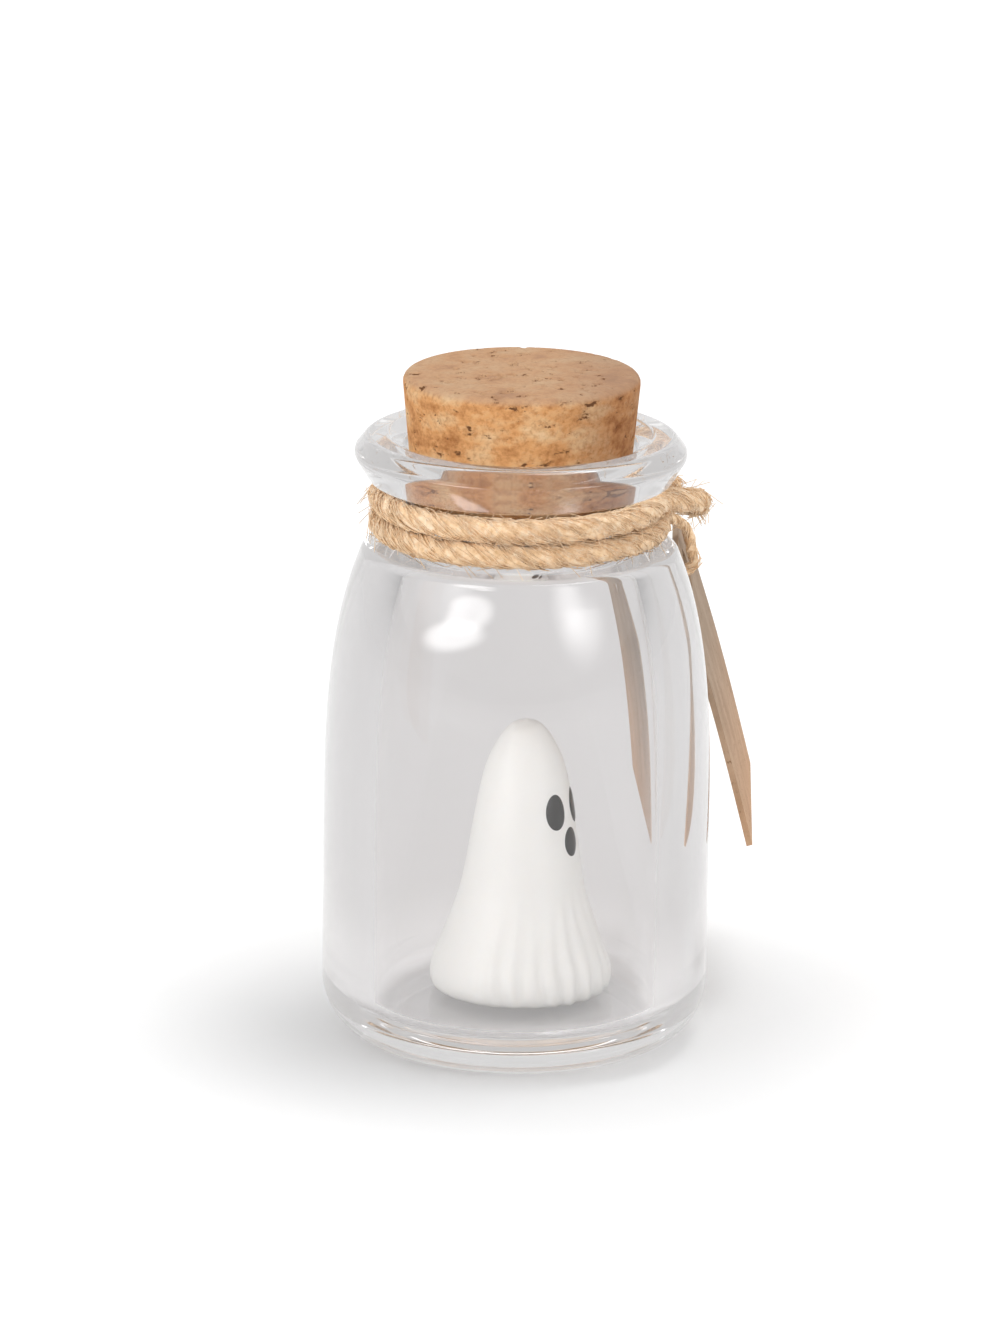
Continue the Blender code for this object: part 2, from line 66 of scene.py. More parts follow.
# Glass
BODY_RADIUS = 16.0 * MM
CAVITY_RADIUS = 11.7 * MM
CAVITY_TOP = 40.6 * MM
RIM_HEIGHT = 51.1 * MM
HEEL_RADIUS = 5.0 * MM
STRAIGHT_HEIGHT = 12.0 * MM
SHOULDER_HEIGHT = 42.0 * MM
SHOULDER_DRAW = 3.2 * MM
SHOULDER_EXPONENT = 4
SHOULDER_CORNER = 1.1 * MM
SIDE_ROWS = 20
FILLET_STEPS = 12
NECK_RADIUS = 9.95 * MM
BORE_RADIUS = 9.05 * MM
NECK_FILLET = 0.5 * MM
LIP_FOOT_RADIUS = 12.4 * MM
LIP_RADIUS = 13.8 * MM
LIP_CROWN_RADIUS = 12.6 * MM
LIP_FLARE_HEIGHT = 2.3 * MM
LIP_CROWN_HEIGHT = 1.4 * MM
LIP_FOOT_FILLET = 0.4 * MM
LIP_FILLET = 0.9 * MM
FUNNEL_WIDTH = 1.4 * MM
MOUTH_RADIUS = 9.5 * MM
MOUTH_DROP = 0.8 * MM
MOUTH_ROUND = 0.4 * MM
MOUTH_HEIGHT = RIM_HEIGHT - MOUTH_DROP
FLOOR_THICKNESS = 3.4 * MM
INNER_HEEL_RADIUS = 1.4 * MM
TRAPPED_BOUNCES = 3.5
GLASS_CREASE = 40.0 * DEGREE

# Cork
CORK_STANDING = 5.9 * MM
CORK_SUNK = 6.3 * MM
CORK_TAPER = 5.3 * DEGREE
CORK_EDGE = 0.7 * MM
CORK_CELL = 0.2 * MM
CORK_SEGMENTS = 256
CORK_CREASE = 50.0 * DEGREE
PIT_SIZE = 1.45 * MM
PIT_FLATNESS = 2.2
PIT_DETAIL = 5.0
PIT_ROUGHNESS = 0.62

# Ghost
GHOST_HEIGHT = 22.5 * MM
GHOST_RADIUS = 7.8 * MM
GHOST_PLACE = Vector((0.495 * MM, 2.807 * MM, 3.7 * MM))
GHOST_FACING = -30.0 * DEGREE
GHOST_LEAN = 0.014
GHOST_ROWS = 120
GHOST_SEGMENTS = 280
GHOST_CREASE = 60.0 * DEGREE
PLEAT_NOISE_SCALE = 160.0
PLEAT_DRIFT = 8.0
PLEAT_FADE = 1.5
PLAIN_AZIMUTH = -127.0 * DEGREE
GHOST_PROFILE_SHARES = (
    (0.0, 0.925), (0.015, 0.98), (0.05, 1.0), (0.105, 0.972), (0.16, 0.905), (0.255, 0.8),
    (0.365, 0.692), (0.48, 0.625), (0.6, 0.57), (0.7, 0.52), (0.79, 0.465), (0.86, 0.4),
    (0.915, 0.32), (0.955, 0.24), (0.985, 0.14), (1.0, 0.0),
)
EYE_SIZE = (2.0 * MM, 2.9 * MM)
EYE_LEVEL = 15.6 * MM
EYE_SPREAD = 21.0 * DEGREE
OPEN_MOUTH_SIZE = (1.9 * MM, 2.4 * MM)
OPEN_MOUTH_LEVEL = 12.9 * MM
FILM_THICKNESS = 0.1 * MM
FILM_SINK = 0.2 * MM
FILM_SIDES = 40
FILM_RINGS = 6

# Twine
TWINE_DIAMETER = 1.95 * MM
TWINE_TURNS = 2
TWINE_PITCH = 2.05 * MM
TWINE_LEVEL = 44.75 * MM
LOOP_POINTS = 24
LEAD_ANGLE = 48.0 * DEGREE
KNOT_AZIMUTH = 40.0 * DEGREE
KNOT_RADIUS = 2.0 * MM
KNOT_LENGTH = 4.0 * MM
KNOT_LEVEL = 43.7 * MM
KNOT_TWINE_RADIUS = 0.72 * MM
KNOT_WRAPS = 3
KNOT_STEPS = 60
KNOT_START = 0.6
KNOT_LAY = 5.0 * MM
PLY_SHARE = 0.7
PLY_SIDES = 12
LUMP_SPACING = 1.3 * MM
LUMP_HEIGHT = 0.07
TAIL_LENGTH = 1.0 * MM
TAIL_TAPER = 0.35
TAPER_START = 0.6
TAIL_RADIUS = 0.3 * TWINE_DIAMETER
FRAY_SPREAD = 0.3
FRAY_LIFT = 0.05
TAIL_SPREAD = 22.0 * DEGREE
UPPER_TAIL_RISE = 36.0 * DEGREE
LOWER_TAIL_RISE = -20.0 * DEGREE

# Tag and tie
TAG_WIDTH = 20.0 * MM
TAG_THICKNESS = 0.5 * MM
TAG_CLIP = 5.5 * MM
TAG_BELOW_HOLE = 21.8 * MM
TAG_ABOVE_HOLE = 3.0 * MM
TAG_HOLE_RADIUS = 1.7 * MM
TAG_HOLE_SIDES = 40
TAG_CELL = 0.6 * MM
TAG_LONGEST_EDGE = 1.5 * MM
TAG_CREASE = 40.0 * DEGREE
TAG_TILT = 3.7 * DEGREE
TAG_TURN = 2.2 * DEGREE
TAG_HOLE_SHIFT = 4.9 * MM
TAG_STANDOFF = 0.4 * MM
TIE_DIAMETER = 0.9 * MM
TIE_LENGTH = 6.4 * MM
TIE_LAY = 3.0 * MM
TIE_ALONG_KNOT = 1.4 * MM
TIE_OUTWARD = 1.5 * MM
TIE_SPACING = 1.35 * MM

# Stage
FLOOR_REACH = 3.0
FLOOR_DROP = 0.05 * MM
LAMP_TARGET = Vector((0.0, 0.0, 35.0 * MM))
LAMP_PEAK = 2.2
CAMERA_DISTANCE = 598.07 * MM
CAMERA_DOWN = 15.88 * DEGREE
CAMERA_ROLL = 0.69 * DEGREE
CAMERA_TARGET = Vector((-1.54 * MM, 0.0, 31.33 * MM))
CAMERA_LENS = 196.29
CAMERA_NEAREST = 10.0 * MM
SENSOR_HEIGHT = 36.0


def linear(code):
    """Linear colour of an sRGB hex code, with alpha."""
    values = []
    for start in (1, 3, 5):
        share = int(code[start:start + 2], 16) / 255.0
        values.append(share / 12.92 if share <= 0.04045 else ((share + 0.055) / 1.055) ** 2.4)
    return (*values, 1.0)


WHITE = linear("#FFFFFF")
BLACK = linear("#000000")
# Colour of the painted glow in the glass wall
PAINTED_GLOW_COLOUR = linear("#FFFDFC")
CORK_GRAIN_SHADE = linear("#C9B29C")
ENAMEL_THIN = linear("#26231F")
CARD_CLOUD = linear("#BA9474")


def colour_setting(name, code, description):
    """A colour property whose default is a hex code."""
    return FloatVectorProperty(
        name=name, description=description, subtype="COLOR", size=4, min=0.0, max=1.0, default=linear(code)
    )


def number_setting(name, default, description, unit="NONE", **limits):
    """A number property that isn't negative."""
    return FloatProperty(name=name, description=description, default=default, unit=unit, min=0.0, **limits)


class GlassSettings(bpy.types.PropertyGroup):
    """Sizes and colour of the glass."""
    tint: colour_setting("Tint", "#FFFEFE", "Colour that light takes on in the glass")
    shade: number_setting("Shade", 0.3, "Share of a lamp's light that a side of the wall holds back", max=1.0)
    # Painted glow: how brightly the glass glows where light went round in the wall.
    painted_glow_strength: number_setting("Trapped Light", 0.28, "Brightness of light that went round in the wall")
    segments: IntProperty(name="Segments", description="Faces round the bottle", default=256, min=64, max=512)
    ripple: number_setting("Ripple", 0.02 * MM, "Height of the faint waves that the mould leaves", "LENGTH")


class CorkSettings(bpy.types.PropertyGroup):
    """Sizes and colours of the cork."""
    light: colour_setting("Light", "#E2BE92", "Palest grain of the cork")
    body: colour_setting("Body", "#D79E67", "Usual colour of the cork")
    streak: colour_setting("Streaks", "#AE7444", "Darker streaks of bark")
    end_grain: colour_setting("End Grain", "#B2937A", "Dull bloom on the cut end face")
    # Painted shade: this darkens the side of the cork that faces away from the key lamp.
    painted_side_shade: colour_setting("Bark Side", "#D6CFD0", "Darkening of the side that grew next to the bark")
    # Painted shade: this darkens the cork inside the neck, where the glass lip shades it.
    pressed: colour_setting("Pressed", "#DDD9D8", "Darkening of the part that is pressed into the neck")
    pit: colour_setting("Pits", "#6F4A2E", "Dark bark in the pits")
    pit_depth: number_setting("Pit Depth", 0.22 * MM, "Depth of the pits", "LENGTH")


class GhostSettings(bpy.types.PropertyGroup):
    """Sizes and colours of the ghost."""
    glaze: colour_setting("Glaze", "#E7E6E3", "Colour of the glaze")
    enamel: colour_setting("Enamel", "#151311", "Colour of the eyes and the mouth")
    pleats: IntProperty(name="Pleats", description="Pleats round the hem", default=28, min=4, max=40)
    pleat_depth: number_setting("Pleat Depth", 0.15 * MM, "Height of a pleat at the hem", "LENGTH")


class TwineSettings(bpy.types.PropertyGroup):
    """Sizes and colours of the jute twine."""
    light: colour_setting("Light", "#FCE6CA", "Palest fibres")
    body: colour_setting("Body", "#F4D2A9", "Usual colour of the fibres")
    dark: colour_setting("Dark", "#DDB585", "Darkest fibres and the hollows between plies")
    lay_length: number_setting("Lay Length", 7.5 * MM, "Length of one twist of the plies", "LENGTH")
    fibre_radius: number_setting("Fibre Radius", 0.05 * MM, "Radius of one fibre", "LENGTH")
    end_fibres: IntProperty(name="End Fibres", description="Loose fibres at a cut end", default=110, min=0)


class TagSettings(bpy.types.PropertyGroup):
    """Colours and bend of the card tag."""
    card: colour_setting("Card", "#CBA585", "Usual colour of the kraft card")
    # Painted shade: this greys and darkens the card towards its head.
    painted_head_shade: colour_setting("Ageing", "#D4E4F4", "Greying of the card towards its head")
    fleck: colour_setting("Fleck", "#8A6645", "Dark flecks of pulp")
    bow: number_setting("Bow", 0.25 * MM, "How far the card bends along its length", "LENGTH")


class StageSettings(bpy.types.PropertyGroup):
    """Floor, lamps and surroundings."""
    floor: colour_setting("Floor", "#F0F0F0", "Colour of the floor")
    floor_through: colour_setting("Floor Through Glass", "#D0CFCF", "Colour of the floor seen through glass")
    glow: number_setting("Glow", 0.24, "Light that lifts the floor to white for the camera")
    far_glow: number_setting("Far Glow", 0.42, "Light that lifts the floor to white beyond the lamps' reach")
    glow_under: number_setting("Glow Under", 0.17, "Light that lifts the floor that is seen through the base")
    ambient: number_setting("Ambient", 0.7, "Brightness of the surroundings")
    through: number_setting("Through Glass", 0.68, "Brightness of the surroundings seen through glass")
    strip_power: number_setting("Strip Power", 0.34, "Power of the left light seen in the glass", "POWER")
    fill_power: number_setting("Fill Power", 0.48, "Power of the right light seen in the glass", "POWER")
    key_power: number_setting("Key Power", 1.1, "Power of the wide left softbox", "POWER")
    top_power: number_setting("Top Power", 1.0, "Power of the overhead softbox", "POWER")


class BottleSettings(bpy.types.PropertyGroup):
    """All settings of the bottle."""
    glass: PointerProperty(type=GlassSettings)
    cork: PointerProperty(type=CorkSettings)
    ghost: PointerProperty(type=GhostSettings)
    twine: PointerProperty(type=TwineSettings)
    tag: PointerProperty(type=TagSettings)
    stage: PointerProperty(type=StageSettings)


def fill_inputs(tree, node, inputs):
    """Give inputs, by name or in order, values or links from a socket or from a node's first live output."""
    for key, source in inputs.items() if isinstance(inputs, dict) else enumerate(inputs):
        if isinstance(source, bpy.types.Node):
            source = next(socket for socket in source.outputs if socket.enabled)
        if isinstance(source, bpy.types.NodeSocket):
            tree.links.new(source, node.inputs[key])
        else:
            node.inputs[key].default_value = source


def add_node(tree, kind, inputs=(), **settings):
    """Add a node with its settings, its input values and its links."""
    node = tree.nodes.new(kind)
    for name, value in settings.items():
        setattr(node, name, value)
    fill_inputs(tree, node, inputs)
    return node


def formula(tree, value, *steps):
    """Work a value out in steps; each is an operation and its other number, or None where it has none."""
    for operation, other in zip(steps[::2], steps[1::2]):
        terms = (value,) if other is None else (value, other)
        value = add_node(tree, "ShaderNodeMath", terms, operation=operation)
    return value


def new_material(name, inputs):
    """A material whose Principled shader has the inputs that a function of its tree gives."""
    material = bpy.data.materials.new(name)
    material.use_nodes = True
    tree = material.node_tree
    fill_inputs(tree, tree.nodes["Principled BSDF"], inputs(tree))
    return material


def colour_steps(tree, factor, *stops):
    """A ramp through stops, each a position and a colour."""
    node = add_node(tree, "ShaderNodeValToRGB", {"Fac": factor})
    elements = node.color_ramp.elements
    elements[0].position, elements[0].color = stops[0]
    elements[1].position, elements[1].color = stops[-1]
    for position, colour in stops[1:-1]:
        elements.new(position).color = colour
    return node


def colour_layers(tree, base, *layers):
    """Lay colours over a base in turn; each layer is a mask, a colour and the way it blends."""
    for mask, colour, blend in layers:
        inputs = {"Factor": mask, "A": base, "B": colour}
        base = add_node(tree, "ShaderNodeMix", inputs, data_type="RGBA", blend_type=blend)
    return base


def noise_pattern(tree, grain, detail, stretch=(1.0, 1.0, 1.0), roughness=0.5):
    """Noise with features of about a grain's size in metres; stretch shrinks them along an axis."""
    place = add_node(tree, "ShaderNodeTexCoord").outputs["Object"]
    scaled = add_node(tree, "ShaderNodeMapping", {"Vector": place, "Scale": stretch})
    return add_node(tree, "ShaderNodeTexNoise", {
        "Vector": scaled, "Scale": 1.0 / grain, "Detail": detail, "Roughness": roughness,
    })


def object_place(tree):
    """Sockets of the three coordinates of a point of the object."""
    place = add_node(tree, "ShaderNodeTexCoord").outputs["Object"]
    return add_node(tree, "ShaderNodeSeparateXYZ", {"Vector": place}).outputs


def place_object(name, data):
    """Link a new object to the scene."""
    item = bpy.data.objects.new(name, data)
    bpy.context.scene.collection.objects.link(item)
    return item


def new_mesh(name, vertices, faces):
    """A mesh from vertices and faces."""
    mesh = bpy.data.meshes.new(name)
    mesh.from_pydata([tuple(vertex) for vertex in vertices], [], faces)
    return mesh


def dress_mesh(mesh, material, crease=None):
    """Object of a mesh with one material; faces sharper than the crease stay crisp."""
    mesh.materials.clear()
    mesh.materials.append(material)
    mesh.shade_smooth()
    if crease is not None:
        mesh.set_sharp_from_angle(angle=crease)
    return place_object(mesh.name, mesh)


def clean_normals(item):
    """Merge doubles and point every face outwards."""
    shape = bmesh.new()
    shape.from_mesh(item.data)
    bmesh.ops.remove_doubles(shape, verts=shape.verts, dist=0.001 * MM)
    bmesh.ops.recalc_face_normals(shape, faces=shape.faces)
    shape.to_mesh(item.data)
    shape.free()


def polar(radius, azimuth, height=0.0):
    """The point at a radius, an azimuth and a height."""
    return Vector((radius * math.cos(azimuth), radius * math.sin(azimuth), height))


def swing(start, end, angle):
    """The direction at an angle from one direction towards another."""
    return start * math.cos(angle) + end * math.sin(angle)


def ring_faces(low, high, count):
    """Faces between two rings of points, each given by the index of its first point."""
    faces = []
    for index in range(count):
        following = (index + 1) % count
        faces.append((low + index, low + following, high + following, high + index))
    return faces


def rounded_outline(corners, steps):
    """Replace each corner (across, up, fillet) by an arc that touches both of its sides."""
    outline = []
    for index, (across, up, fillet) in enumerate(corners):
        here = Vector((across, up))
        if fillet == 0 or index in (0, len(corners) - 1):
            outline.append(here)
            continue
        before = Vector(corners[index - 1][:2]) - here
        after = Vector(corners[index + 1][:2]) - here
        half = before.angle(after) / 2.0
        reach = fillet / math.tan(half)
        centre = here + (before.normalized() + after.normalized()).normalized() * (fillet / math.sin(half))
        first = here + before.normalized() * reach - centre
        turn = first.angle_signed(here + after.normalized() * reach - centre)
        for step in range(steps + 1):
            outline.append(centre + Matrix.Rotation(-turn * step / steps, 2) @ first)
    return outline


def spun_object(name, outline, segments, material, crease):
    """Object of an outline (across, up) spun about Z, from axis to axis."""
    vertices = []
    faces = []
    rows = outline[1:-1]
    for across, up in rows:
        vertices += [polar(across, FULL_TURN * index / segments, up) for index in range(segments)]
    for row in range(len(rows) - 1):
        faces += ring_faces(row * segments, (row + 1) * segments, segments)
    for ring, up in ((0, outline[0][1]), ((len(rows) - 1) * segments, outline[-1][1])):
        pole = len(vertices)
        vertices.append(UP * up)
        for index in range(segments):
            edge = (ring + index, ring + (index + 1) % segments)
            faces.append((*(edge if ring else reversed(edge)), pole))
    item = dress_mesh(new_mesh(name, vertices, faces), material, crease)
    clean_normals(item)
    return item


def smooth_path(points, steps):
    """Catmull-Rom curve through points, with a number of steps between each pair."""
    ends = [points[0] * 2.0 - points[1]] + list(points) + [points[-1] * 2.0 - points[-2]]
    path = []
    for before, start, end, after in zip(ends, ends[1:], ends[2:], ends[3:]):
        for step in range(steps):
            t = step / steps
            path.append(0.5 * (
                2.0 * start + (end - before) * t + (2.0 * before - 5.0 * start + 4.0 * end - after) * t * t
                + (3.0 * start - before - 3.0 * end + after) * t ** 3
            ))
    path.append(Vector(points[-1]))
    return path


def path_frames(path):
    """Place, side and other side at each point of a path, turning as little as they can."""
    frames = []
    side = None
    for index, place in enumerate(path):
        tangent = (path[min(index + 1, len(path) - 1)] - path[max(index - 1, 0)]).normalized()
        if side is None:
            side = tangent.orthogonal().normalized()
        side = (side - tangent * side.dot(tangent)).normalized()
        frames.append((place, side, tangent.cross(side)))
    return frames


def path_lengths(path):
    """Distance along a path at each of its points."""
    lengths = [0.0]
    for before, here in zip(path, path[1:]):
        lengths.append(lengths[-1] + (here - before).length)
    return lengths


def tube_mesh(path, radius_at, sides, start=0):
    """Vertices and faces of a closed tube; radius_at gives the radius at a share of the path."""
    vertices = []
    last = len(path) - 1
    for index, (place, side, other) in enumerate(path_frames(path)):
        radius = radius_at(index / last)
        for corner in range(sides):
            vertices.append(place + swing(side, other, FULL_TURN * corner / sides) * radius)
    faces = []
    for index in range(last):
        faces += ring_faces(start + index * sides, start + (index + 1) * sides, sides)
    faces.append(tuple(start + corner for corner in reversed(range(sides))))
    faces.append(tuple(start + last * sides + corner for corner in range(sides)))
    return vertices, faces


def strand_mesh(path, radius, lay_length, plies, rng, taper=0.0):
    """Mesh of twisted plies along a path; taper thins the strand's last stretch."""
    frames = path_frames(path)
    lengths = path_lengths(path)
    ply_radius = radius * PLY_SHARE
    orbit = radius - ply_radius
    vertices = []
    faces = []
    for ply in range(plies):
        centres = []
        phase = FULL_TURN * ply / plies
        for (place, side, other), length in zip(frames, lengths):
            centres.append(place + swing(side, other, phase + FULL_TURN * length / lay_length) * orbit)
        count = int(lengths[-1] / LUMP_SPACING) + 3
        lumps = [1.0 + rng.uniform(-LUMP_HEIGHT, LUMP_HEIGHT) for _ in range(count)]

        def radius_at(share):
            place = share * (len(lumps) - 2)
            index = int(place)
            lump = lumps[index] + (lumps[index + 1] - lumps[index]) * (place - index)
            return ply_radius * lump * (1.0 - taper * max(0.0, share - TAPER_START) / (1.0 - TAPER_START))

        more, more_faces = tube_mesh(centres, radius_at, PLY_SIDES, len(vertices))
        vertices += more
        faces += more_faces
    return new_mesh("plies", vertices, faces)


def make_soda_glass(settings):
    """Pressed soda-lime glass: clear, hard gloss, with faint waves left by the mould, and a painted glow
    where light goes round inside the wall.
    """
    def inputs(tree):
        paths = add_node(tree, "ShaderNodeLightPath").outputs
        # Painted glow: the glass glows where a path has bounced more than three times inside the wall.
        painted_glow_mask = formula(tree, paths["Glossy Depth"], "GREATER_THAN", TRAPPED_BOUNCES)
        let_through = formula(tree, paths["Is Shadow Ray"], "MULTIPLY", 1.0 - settings.shade)
        waves = noise_pattern(tree, grain=9.0 * MM, detail=1.0, stretch=(1.0, 1.0, 0.6))
        return {
            "Base Color": settings.tint, "Roughness": 0.0, "IOR": 1.5, "Transmission Weight": 1.0,
            "Alpha": formula(tree, 1.0, "SUBTRACT", let_through), "Emission Color": PAINTED_GLOW_COLOUR,
            "Emission Strength": formula(tree, painted_glow_mask, "MULTIPLY", settings.painted_glow_strength),
            "Normal": add_node(tree, "ShaderNodeBump", {"Height": waves, "Distance": settings.ripple}),
        }
    return new_material("soda_lime_glass", inputs)


def make_cork_material(settings):
    """Natural cork, punched and sanded: dull, with darker bark, pale grain and dark pits; painted shade
    darkens its side away from the key lamp and its part inside the neck.
    """
    def inputs(tree):
        patches = noise_pattern(tree, grain=3.2 * MM, detail=6.0, stretch=(1.0, 1.0, 1.7), roughness=0.6)
        stops = ((0.3, settings.streak), (0.46, settings.body), (0.68, settings.light))
        grain = noise_pattern(tree, grain=0.45 * MM, detail=3.0, roughness=0.7)
        place = object_place(tree)
        top = MOUTH_HEIGHT + CORK_STANDING
        edge = (place["Z"], top - CORK_EDGE, top - 0.2 * CORK_EDGE)
        end_face = add_node(tree, "ShaderNodeMapRange", edge, **SMOOTH)
        # Painted shade: darkens the cork's side towards +X, which is turned away from the key lamp.
        side_shade_mask = add_node(tree, "ShaderNodeMapRange", (place["X"], 1.0 * MM, 8.0 * MM), **SMOOTH)
        # Painted shade: darkens the cork below the mouth, where the glass lip shades it.
        neck = (place["Z"], MOUTH_HEIGHT - 0.1 * MM, MOUTH_HEIGHT - 1.2 * MM)
        neck_shade_mask = add_node(tree, "ShaderNodeMapRange", neck, **SMOOTH)
        pits = noise_pattern(tree, PIT_SIZE, PIT_DETAIL, (1.0, 1.0, PIT_FLATNESS), PIT_ROUGHNESS)
        fine = add_node(tree, "ShaderNodeBump", {"Height": grain, "Distance": 0.05 * MM})
        return {
            "Base Color": colour_layers(
                tree, colour_steps(tree, patches, *stops),
                (0.7, colour_steps(tree, grain, (0.3, CORK_GRAIN_SHADE), (0.55, WHITE)), "MULTIPLY"),
                (side_shade_mask, settings.painted_side_shade, "MULTIPLY"),
                (neck_shade_mask, settings.pressed, "MULTIPLY"),
                (formula(tree, end_face, "MULTIPLY", 0.6), settings.end_grain, "MIX"),
                (colour_steps(tree, pits, (0.345, WHITE), (0.39, BLACK)), settings.pit, "MIX"),
            ),
            "Roughness": 0.88, "Specular IOR Level": 0.25,
            "Normal": add_node(tree, "ShaderNodeBump", {
                "Height": pits, "Distance": 0.25 * MM, "Strength": 0.6, "Normal": fine,
            }),
        }
    return new_material("natural_cork", inputs)


def make_glaze_material(settings):
    """White glazed earthenware: warm, glossy, with the slight waves of a dipped glaze."""
    def inputs(tree):
        waves = noise_pattern(tree, grain=2.2 * MM, detail=2.0)
        return {
            "Base Color": settings.glaze, "Roughness": 0.45, "Coat Weight": 0.2, "Coat Roughness": 0.25,
            "Subsurface Weight": 0.12, "Subsurface Scale": 0.8 * MM, "Subsurface Radius": (1.0, 0.85, 0.7),
            "Normal": add_node(tree, "ShaderNodeBump", {"Height": waves, "Distance": 0.05 * MM}),
        }
    return new_material("white_glazed_earthenware", inputs)


def make_enamel_material(settings):
    """Fired overglaze enamel: near-black gloss with a slightly uneven film."""
    def inputs(tree):
        film = noise_pattern(tree, grain=0.5 * MM, detail=3.0)
        colour = colour_steps(tree, film, (0.35, settings.enamel), (0.75, ENAMEL_THIN))
        return {"Base Color": colour, "Roughness": 0.3}
    return new_material("overglaze_enamel", inputs)


def make_jute_material(settings):
    """Twisted jute: dry bast fibre, pale and straw-gold, darker where plies meet."""
    def inputs(tree):
        strands = noise_pattern(tree, grain=0.5 * MM, detail=5.0, roughness=0.65)
        fine = noise_pattern(tree, grain=0.14 * MM, detail=2.0)
        return {
            "Base Color": colour_steps(
                tree, strands, (0.3, settings.dark), (0.48, settings.body), (0.68, settings.light)
            ),
            "Roughness": 0.82, "Specular IOR Level": 0.3, "Sheen Weight": 0.25, "Sheen Roughness": 0.5,
            "Normal": add_node(tree, "ShaderNodeBump", {"Height": fine, "Distance": 0.06 * MM}),
        }
    return new_material("twisted_jute", inputs)


def make_card_material(settings):
    """Uncoated kraft card: matt, brown, with pulp flecks and a soft tooth, and painted shade that greys it
    towards its head.
    """
    def inputs(tree):
        clouds = noise_pattern(tree, grain=2.4 * MM, detail=5.0, stretch=(1.0, 1.0, 0.35))
        flecks = noise_pattern(tree, grain=0.35 * MM, detail=3.0, stretch=(1.0, 1.0, 0.5), roughness=0.7)
        # Painted shade: greying and darkening that grows from the card's foot towards its head.
        bottom = KNOT_LEVEL - TIE_LENGTH - TAG_BELOW_HOLE
        height = (object_place(tree)["Z"], bottom, bottom + 0.65 * TAG_BELOW_HOLE)
        return {
            "Base Color": colour_layers(
                tree, colour_steps(tree, clouds, (0.3, CARD_CLOUD), (0.62, settings.card)),
                (colour_steps(tree, flecks, (0.3, WHITE), (0.4, BLACK)), settings.fleck, "MIX"),
                (add_node(tree, "ShaderNodeMapRange", height), settings.painted_head_shade, "MULTIPLY"),
            ),
            "Roughness": 0.86, "Specular IOR Level": 0.3,
            "Normal": add_node(tree, "ShaderNodeBump", {"Height": flecks, "Distance": 0.03 * MM}),
        }
    return new_material("kraft_card", inputs)


def new_tree(name, **kinds):
    """A geometry tree with named inputs, given with underscores for spaces; returns it and their sockets."""
    tree = bpy.data.node_groups.new(name, "GeometryNodeTree")
    tree.interface.new_socket("Geometry", in_out="OUTPUT", socket_type="NodeSocketGeometry")
    for label, kind in {"Geometry": "Geometry", **kinds, "Material": "Material"}.items():
        tree.interface.new_socket(label.replace("_", " "), in_out="INPUT", socket_type="NodeSocket" + kind)
    return tree, tree.nodes.new("NodeGroupInput").outputs


def end_tree(tree, geometry, material):
    """Realize instances, set the material and join the tree's output."""
    realized = add_node(tree, "GeometryNodeRealizeInstances", {"Geometry": geometry})
    dressed = add_node(tree, "GeometryNodeSetMaterial", {"Geometry": realized, "Material": material})
    add_node(tree, "NodeGroupOutput", {"Geometry": dressed})
    return tree


def end_moved(tree, entry, direction, depth):
    """Move the surface along a direction by a depth, and end the tree."""
    offset = add_node(tree, "ShaderNodeVectorMath", {0: direction, "Scale": depth}, operation="SCALE")
    moved = add_node(tree, "GeometryNodeSetPosition", {"Geometry": entry["Geometry"], "Offset": offset})
    return end_tree(tree, moved, entry["Material"])


def apply_tree(item, tree, values):
    """Run a node tree on an object with named input values and keep the result as a plain mesh."""
    modifier = item.modifiers.new(tree.name, "NODES")
    modifier.node_group = tree
    for socket in tree.interface.items_tree:
        if socket.item_type == "SOCKET" and socket.in_out == "INPUT" and socket.name in values:
            modifier[socket.identifier] = values[socket.name]
    evaluated = item.evaluated_get(bpy.context.evaluated_depsgraph_get())
    mesh = bpy.data.meshes.new_from_object(evaluated)
    item.modifiers.remove(modifier)
    return mesh


def drawn_side(radius, draw, top, last_share):
    """Corners of a side that is straight at first and draws in steadily more towards its top."""
    corners = []
    for row in range(SIDE_ROWS + 1):
        share = math.sin(math.pi / 2.0 * row / SIDE_ROWS) * last_share
        height = STRAIGHT_HEIGHT + (top - STRAIGHT_HEIGHT) * share
        corners.append((radius - draw * share ** SHOULDER_EXPONENT, height, 0.0))
    return corners


